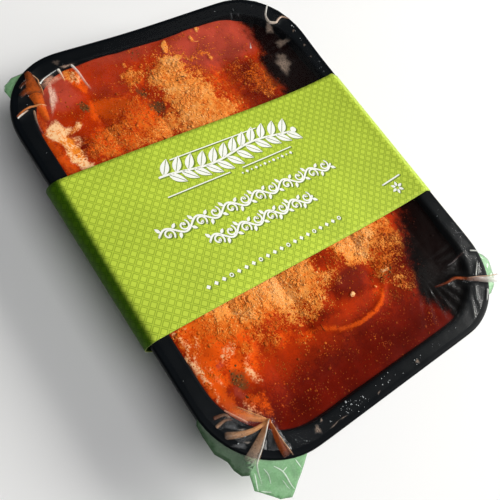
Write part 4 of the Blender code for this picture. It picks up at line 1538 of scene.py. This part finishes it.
def sleeve_path():
    """The card's middle line from the glue flap round to the outer panel, and its top panel's points."""
    half = CARD / 2
    glue_z = CARD + CARD_GAP
    path = belt_path([
        (-UNDERSIDE_HALF_WIDTH, glue_z + FOLD_RADIUS, FOLD_RADIUS - half),
        (-84.8, FLANGE_TOP - 4.6, SHOULDER_RADIUS - half),
        (82.0, FLANGE_TOP + 1.0, CREASE_RADIUS - half),
        (87.2, FLANGE_TOP - 3.2, LIP_WRAP_RADIUS - half),
        (UNDERSIDE_HALF_WIDTH, FOLD_RADIUS, FOLD_RADIUS - half),
    ])
    left = max((point for point in path if point[0] < 0), key=lambda point: (point[1], point[0]))
    split = path.index(left) + 1
    right = path[split]
    scale = TOP_DIP / (TOP_DIP_PLACE**TOP_DIP_BEFORE * (1 - TOP_DIP_PLACE) ** TOP_DIP_AFTER)
    panel = []
    for step in range(1, 90):
        t = step / 90
        dip = scale * t**TOP_DIP_BEFORE * (1 - t) ** TOP_DIP_AFTER
        panel.append((left[0] + (right[0] - left[0]) * t, left[1] + (right[1] - left[1]) * t - dip))
    whole = [(GLUE_FLAP - UNDERSIDE_HALF_WIDTH, glue_z + half)] + path[:split] + panel + path[split:]
    return whole + [(OUTER_PANEL_END, half)], [left] + panel + [right]


def refined(path, longest):
    """The path with points added so that no step is longer than given."""
    fine = [path[0]]
    for (x0, z0), (x1, z1) in zip(path, path[1:]):
        steps = max(1, math.ceil(math.hypot(x1 - x0, z1 - z0) / longest))
        fine += [(x0 + (x1 - x0) * k / steps, z0 + (z1 - z0) * k / steps) for k in range(1, steps + 1)]
    return fine


def card_material(settings):
    """Printed card: small woven squares set cornerwise, with thin lines that pass over and under, and painted shade on
    the left side panel.
    """
    material, tree, shader = new_material("printed_green_card")
    card = node(tree, "ShaderNodeAttribute", attribute_name="card").outputs["Vector"]
    turned = node(tree, "ShaderNodeVectorRotate", {"Vector": card, "Angle": math.radians(45)}, rotation_type="Z_AXIS")
    scaled = node(tree, "ShaderNodeVectorMath", {0: turned.outputs[0], "Scale": MM / settings.pitch}, operation="SCALE")
    axes = node(tree, "ShaderNodeSeparateXYZ", {0: scaled.outputs[0]})
    offsets = []
    for axis in ("X", "Y"):
        wrapped = maths(tree, "SUBTRACT", maths(tree, "FRACT", axes.outputs[axis]), 0.5)
        offsets.append(wrapped)
    wide = maths(tree, "MAXIMUM", maths(tree, "ABSOLUTE", offsets[0]), maths(tree, "ABSOLUTE", offsets[1]))
    square = between(tree, wide, 0.31, 0.35, 1.0, 0.0)
    thread = between(tree, wide, 0.415, 0.455)
    where = place(tree)
    gap = mixed(tree, grain(tree, where, 1.5, detail=2.0), settings.line, settings.ground)
    colour = mixed(tree, square, gap, settings.square)
    colour = mixed(tree, maths(tree, "MULTIPLY", thread, 0.8), colour, settings.square)
    ink = between(tree, grain(tree, where, 22.0, detail=2.0), 0.3, 0.7, 0.95, 1.05)
    ink = node(tree, "ShaderNodeCombineColor", {0: ink, 1: ink, 2: ink}).outputs[0]
    colour = mixed(tree, 1.0, colour, ink, "MULTIPLY")
    # Painted shade: the left side panel is darkened and turned greener.
    parts = node(tree, "ShaderNodeSeparateXYZ", {0: card})
    slant = maths(tree, "MULTIPLY", maths(tree, "SUBTRACT", SLEEVE_HIGH.y / MM, parts.outputs["Y"]), SIDE_SHADE_SLANT)
    across = maths(tree, "ADD", parts.outputs["X"], slant)
    side = between(tree, across, SIDE_SHADE_EDGE[0], SIDE_SHADE_EDGE[1], 1.0, 0.0)
    colour = mixed(tree, side, colour, mixed(tree, 1.0, colour, SIDE_SHADE, "MULTIPLY"))
    tree.links.new(colour, shader.inputs["Base Color"])
    shader.inputs["Roughness"].default_value = 0.5
    shader.inputs["Specular IOR Level"].default_value = 0.1
    fibre = grain(tree, where, 0.35, detail=3.0)
    bump(tree, shader, maths(tree, "ADD", fibre, maths(tree, "MULTIPLY", square, 0.4)), 0.12, 0.1)
    return material


class MEAL_OT_sleeve(bpy.types.Operator):
    """Folds the printed card sleeve round the tray"""

    bl_idname = "meal.sleeve"
    bl_label = "Card Sleeve"

    def execute(self, context):
        settings = context.scene.meal_sleeve
        near, far = SLEEVE_LOW.y / MM, SLEEVE_HIGH.y / MM
        path = refined(sleeve_path()[0], 2.0)
        lengths = [0.0]
        for (x0, z0), (x1, z1) in zip(path, path[1:]):
            lengths.append(lengths[-1] + math.hypot(x1 - x0, z1 - z0))
        middle = min(range(len(path)), key=lambda k: abs(path[k][0]) + (100 if path[k][1] < 20 else 0))
        rows = 44
        points, faces, card = [], [], []
        for row in range(rows + 1):
            y = near + (far - near) * row / rows
            for (x, z), length in zip(path, lengths):
                points.append((x, y, z))
                card.append((length - lengths[middle] + path[middle][0], y, 0.0))
        width = len(path)
        for row in range(rows):
            for i in range(width - 1):
                a = row * width + i
                faces.append((a, a + 1, a + width + 1, a + width))
        sleeve = new_piece("card_sleeve", points, faces, card_material(settings), "green_card")
        layer = sleeve.data.attributes.new("card", "FLOAT_VECTOR", "POINT")
        layer.data.foreach_set("vector", np.array(card, np.float32).ravel())
        thick = sleeve.modifiers.new("Thickness", "SOLIDIFY")
        thick.thickness = CARD * MM
        thick.offset = 0.0
        thick.use_even_offset = True
        paper, tree, shader = new_material("cut_card_edge")
        pulp = mixed(tree, grain(tree, place(tree), 0.6), (0.26, 0.32, 0.07), (0.38, 0.43, 0.14))
        tree.links.new(pulp, shader.inputs["Base Color"])
        shader.inputs["Roughness"].default_value = 0.8
        sleeve.data.materials.append(paper)
        thick.material_offset_rim = 1
        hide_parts("sleeve")
        return {"FINISHED"}


class Artwork:
    """Flat printed shapes made of strips, which follow the sleeve's top panel."""

    def __init__(self, lift, grow=0.0, shift=(0.0, 0.0)):
        self.panel = sleeve_path()[1]
        self.lift = lift
        self.grow = grow
        self.shift = shift
        self.points = []
        self.faces = []

    def point(self, x, y):
        x, y = x + self.shift[0], y + self.shift[1]
        z = float(np.interp(x, [p[0] for p in self.panel], [p[1] for p in self.panel]))
        self.points.append((x, y, z + CARD / 2 + self.lift))

    def strip(self, pairs):
        """Quads between pairs of points."""
        first = len(self.points)
        for left, right in pairs:
            self.point(*left)
            self.point(*right)
        for k in range(len(pairs) - 1):
            a = first + 2 * k
            self.faces.append((a, a + 1, a + 3, a + 2))

    def stroke(self, path, width):
        """A line of even width with rounded ends."""
        half = width / 2 + self.grow
        pairs = []
        for k, (x, y) in enumerate(path):
            before, after = path[max(k - 1, 0)], path[min(k + 1, len(path) - 1)]
            length = math.hypot(after[0] - before[0], after[1] - before[1]) or 1.0
            nx, ny = -(after[1] - before[1]) / length, (after[0] - before[0]) / length
            pairs.append(((x + nx * half, y + ny * half), (x - nx * half, y - ny * half)))
        self.strip(pairs)
        if path[0] != path[-1]:
            self.disc(*path[0], width / 2)
            self.disc(*path[-1], width / 2)

    def disc(self, x, y, radius):
        radius += self.grow
        pairs = []
        for k in range(9):
            angle = math.pi * k / 8
            u, v = -radius * math.cos(angle), radius * math.sin(angle)
            pairs.append(((x + u, y + v), (x + u, y - v)))
        self.strip(pairs)

    def diamond(self, x, y, reach):
        reach += self.grow
        self.strip([((x - reach, y), (x - reach, y)), ((x, y + reach), (x, y - reach)), ((x + reach, y), (x + reach, y))])

    def ring(self, x, y, radius, width, squash=1.0):
        path = []
        for k in range(33):
            angle = 2 * math.pi * k / 32
            path.append((x + radius * math.cos(angle), y + squash * radius * math.sin(angle)))
        half = width / 2 + self.grow
        pairs = []
        for u, v in path:
            du, dv = u - x, v - y
            length = math.hypot(du, dv)
            pairs.append(((u + du / length * half, v + dv / length * half), (u - du / length * half, v - dv / length * half)))
        self.strip(pairs)

    def leaf(self, x, y, length, width, turn, gap=0.0):
        """A pointed leaf from its stalk end, split by a fine midline where a gap is given."""
        c, s = math.cos(math.radians(turn)), math.sin(math.radians(turn))
        gap = max(gap - 2 * self.grow, 0.0)
        halves = ((gap / 2, 1.0), (-gap / 2, -1.0)) if gap else ((0.0, 0.0),)
        for offset, side in halves:
            pairs = []
            for k in range(13):
                t = k / 12
                half = (width / 2 + self.grow) * math.sin(math.pi * t**0.8) ** 0.85
                u = t * length
                high = half if side >= 0 else min(offset, 0)
                low = -half if side <= 0 else max(offset, 0)
                high, low = max(high, low), min(high, low)
                if side > 0:
                    low = min(low, high)
                if side < 0:
                    high = max(high, low)
                pairs.append(((x + u * c - high * s, y + u * s + high * c), (x + u * c - low * s, y + u * s + low * c)))
            self.strip(pairs)


def line(x0, y0, x1, y1, step=2.0):
    count = max(2, math.ceil(math.hypot(x1 - x0, y1 - y0) / step))
    return [(x0 + (x1 - x0) * k / count, y0 + (y1 - y0) * k / count) for k in range(count + 1)]


def arc(x, y, radius, start, end, squash=1.0, steps=14):
    path = []
    for k in range(steps + 1):
        angle = math.radians(start + (end - start) * k / steps)
        path.append((x + radius * math.cos(angle), y + squash * radius * math.sin(angle)))
    return path


def draw_garland(art):
    """A bold leafy garland between two rules, over a row of small dots."""
    art.stroke(line(-33, 33.4, 20, 33.0), 0.55)
    art.stroke(line(-45, 15.6, -9, 15.3), 0.55)
    art.stroke(line(-1, 15.2, 31, 15.4), 0.55)
    stem = [(x, 25.0 + 1.6 * math.sin(x / 9.0)) for x in np.arange(-43, 38, 1.0)]
    art.stroke(stem, 1.1)
    for x in np.arange(-40.5, 34, 6.6):
        y = 25.0 + 1.6 * math.sin(x / 9.0)
        art.leaf(x, y + 0.4, 9.6, 4.4, 52, 0.34)
        art.leaf(x + 2.6, y - 0.4, 9.2, 4.2, -46, 0.34)
    art.disc(39.5, 24.0, 1.7)
    for number in range(12):
        art.diamond(-3 + 2.9 * number, 12.4, 0.95 if number % 2 else 0.6)


def draw_vine(art, x0, x1, y, rise, wave):
    """A thin vine that winds from end to end, with a curled tendril, leaves and a berry in each bend."""
    tilt = math.tan(PRINT_TILT)
    stem = []
    for x in np.arange(x0, x1 + 0.5, 0.7):
        stem.append((x, y + (x - x0) * tilt + rise * math.sin(2 * math.pi * (x - x0) / wave)))
    art.stroke(stem, 1.0)
    bends = int(2 * (x1 - x0) / wave)
    for bend in range(bends):
        side = 1 if bend % 2 == 0 else -1
        cx = x0 + wave / 4 + bend * wave / 2
        cy = y + (cx - x0) * tilt
        curl = []
        for k in range(22):
            turn = math.radians(-90 * side + side * 21 * k)
            reach = rise * (1.25 - 0.045 * k)
            curl.append((cx + 0.4 + reach * math.cos(turn), cy - side * 0.3 * rise + reach * math.sin(turn)))
        art.stroke(curl[2:], 0.85)
        art.disc(cx + 0.6, cy - side * 0.55 * rise, 0.72)
        art.leaf(cx - wave * 0.16, cy + side * rise * 0.75, rise * 1.25, 1.7, side * 118)
        art.leaf(cx + wave * 0.2, cy + side * rise * 0.6, rise * 1.2, 1.6, side * 40)


def draw_marks(art):
    """A row of small spaced lozenges, and a flower under a short rule at the right."""
    for number in range(20):
        x, y = -53.5 + 4.3 * number, -31.6 + 0.04 * number
        if number % 4 == 3:
            art.ring(x, y, 0.8, 0.5)
        else:
            art.diamond(x, y, 1.15)
    art.stroke(line(63.5, -26.6, 75.5, -26.0), 0.8)
    for petal in range(6):
        turn = 60 * petal + 15
        art.leaf(69.8 + 0.9 * math.cos(math.radians(turn)), -31.6 + 0.9 * math.sin(math.radians(turn)), 2.8, 1.5, turn)


class MEAL_OT_print(bpy.types.Operator):
    """Prints plain ornaments in white, with their darker shadow, on the sleeve"""

    bl_idname = "meal.print"
    bl_label = "Sleeve Print"

    def execute(self, context):
        settings = context.scene.meal_sleeve
        layers = (
            ("print_shadow", Artwork(0.02, 0.22, (0.42, -0.5)), settings.ink_shadow, "green_card"),
            ("print_white", Artwork(0.05), settings.ink, "white_print"),
        )
        for name, art, colour, slot in layers:
            draw_garland(art)
            draw_vine(art, -60, 45, -0.6, 2.5, 17.5)
            draw_vine(art, -40, 23, -12.9, 2.5, 15.75)
            draw_marks(art)
            material, tree, shader = new_material(name)
            where = place(tree)
            worn = between(tree, grain(tree, where, 1.2, detail=3.0), 0.2, 0.6, 0.92, 1.0)
            worn = node(tree, "ShaderNodeCombineColor", {0: worn, 1: worn, 2: worn}).outputs[0]
            tree.links.new(mixed(tree, 1.0, colour, worn, "MULTIPLY"), shader.inputs["Base Color"])
            shader.inputs["Roughness"].default_value = 0.55
            shader.inputs["Specular IOR Level"].default_value = 0.25
            new_piece(name, art.points, art.faces, material, slot, smooth=False)
        return {"FINISHED"}


# ---- Stage ----------------------------------------------------------------------------------


def aim(thing, spot, target, roll=0.0):
    """Puts a camera or light at a spot, looking at a target, turned about its view by a roll."""
    thing.location = spot
    look = (Vector(target) - Vector(spot)).to_track_quat("-Z", "Y").to_matrix().to_4x4()
    thing.rotation_euler = (look @ Matrix.Rotation(roll, 4, "Z")).to_euler()


def from_centre(target, azimuth, elevation, distance):
    """A spot at an azimuth from +X and an elevation, in degrees, seen from the target."""
    a, e = math.radians(azimuth), math.radians(elevation)
    return Vector(target) + distance * Vector((math.cos(a) * math.cos(e), math.sin(a) * math.cos(e), math.sin(e)))


CAMERA_TARGET = (-24.6 * MM, -24.6 * MM, 35.5 * MM)
CAMERA_LENS = 46.66
CAMERA_DISTANCE = 302.2 * MM
CAMERA_ELEVATION = 57.55
CAMERA_AZIMUTH = -152.7
CAMERA_ROLL = math.radians(31.3)


class MEAL_OT_stage(bpy.types.Operator):
    """Adds the pale floor, the studio lights and the camera"""

    bl_idname = "meal.stage"
    bl_label = "Stage"

    def execute(self, context):
        settings = context.scene.meal_stage
        scene = context.scene
        side = 6.0
        mesh = bpy.data.meshes.new("studio_floor")
        bm = bmesh.new()
        bmesh.ops.create_grid(bm, x_segments=2, y_segments=2, size=side)
        bm.to_mesh(mesh)
        bm.free()
        floor = bpy.data.objects.new("studio_floor", mesh)
        scene.collection.objects.link(floor)
        floor.location.z = -0.0002
        material, tree, shader = new_material("pale_floor")
        shade = mixed(tree, grain(tree, place(tree), 300.0), [c * 0.985 for c in settings.floor], settings.floor)
        tree.links.new(shade, shader.inputs["Base Color"])
        shader.inputs["Roughness"].default_value = 0.9
        shader.inputs["Specular IOR Level"].default_value = 0.1
        mesh.materials.append(material)

        world = bpy.data.worlds.new("studio_room")
        world.use_nodes = True
        background = world.node_tree.nodes["Background"]
        background.inputs["Color"].default_value = (0.95, 0.97, 1.0, 1)
        background.inputs["Strength"].default_value = settings.sky
        scene.world = world

        centre = (0.0, 0.0, 0.02)
        lamps = (
            ("key_light", -18, 30, 2.0, 1.1, settings.key, (1.0, 0.985, 0.95)),
            ("top_light", -95, 68, 1.4, 1.1, settings.top, (1.0, 1.0, 1.0)),
            ("sheen_panel", 47, 46, 0.8, 0.3, settings.sheen, (1.0, 0.98, 0.96)),
        )
        for name, azimuth, elevation, distance, size, power, colour in lamps:
            data = bpy.data.lights.new(name, "AREA")
            data.shape = "SQUARE"
            data.size = size
            data.energy = power
            data.color = colour
            lamp = bpy.data.objects.new(name, data)
            scene.collection.objects.link(lamp)
            aim(lamp, from_centre(centre, azimuth, elevation, distance), centre)

        data = bpy.data.cameras.new("camera")
        data.lens = CAMERA_LENS
        data.clip_start = 0.01
        camera = bpy.data.objects.new("camera", data)
        scene.collection.objects.link(camera)
        spot = from_centre(CAMERA_TARGET, CAMERA_AZIMUTH, CAMERA_ELEVATION, CAMERA_DISTANCE)
        aim(camera, spot, CAMERA_TARGET, CAMERA_ROLL)
        scene.camera = camera
        scene.view_settings.view_transform = "Standard"
        return {"FINISHED"}


class MEAL_PT_panel(bpy.types.Panel):
    bl_label = "Ready Meal"
    bl_idname = "MEAL_PT_panel"
    bl_space_type = "VIEW_3D"
    bl_region_type = "UI"
    bl_category = "Ready Meal"

    def draw(self, context):
        groups = (
            ("meal_tray", (MEAL_OT_tray,)),
            ("meal_food", (MEAL_OT_food, MEAL_OT_crumbs, MEAL_OT_shreds, MEAL_OT_herbs)),
            ("meal_film", (MEAL_OT_film, MEAL_OT_folds, MEAL_OT_tabs, MEAL_OT_droplets)),
            ("meal_sleeve", (MEAL_OT_sleeve, MEAL_OT_print)),
            ("meal_stage", (MEAL_OT_stage,)),
        )
        for name, operators in groups:
            box = self.layout.box()
            settings = getattr(context.scene, name)
            for key in settings.__annotations__:
                box.prop(settings, key)
            for operator in operators:
                box.operator(operator.bl_idname)


SETTINGS = {
    "meal_tray": TraySettings,
    "meal_food": FoodSettings,
    "meal_film": FilmSettings,
    "meal_sleeve": SleeveSettings,
    "meal_stage": StageSettings,
}
OPERATORS = (
    MEAL_OT_tray,
    MEAL_OT_food,
    MEAL_OT_crumbs,
    MEAL_OT_shreds,
    MEAL_OT_herbs,
    MEAL_OT_film,
    MEAL_OT_folds,
    MEAL_OT_tabs,
    MEAL_OT_droplets,
    MEAL_OT_sleeve,
    MEAL_OT_print,
    MEAL_OT_stage,
)


def register():
    for name, group in SETTINGS.items():
        bpy.utils.register_class(group)
        setattr(bpy.types.Scene, name, PointerProperty(type=group))
    for operator in OPERATORS:
        bpy.utils.register_class(operator)
    bpy.utils.register_class(MEAL_PT_panel)


def unregister():
    bpy.utils.unregister_class(MEAL_PT_panel)
    for operator in reversed(OPERATORS):
        bpy.utils.unregister_class(operator)
    for name, group in SETTINGS.items():
        delattr(bpy.types.Scene, name)
        bpy.utils.unregister_class(group)


def main():
    register()
    for operator in OPERATORS:
        module, name = operator.bl_idname.split(".")
        getattr(getattr(bpy.ops, module), name)()


if __name__ == "__main__":
    main()
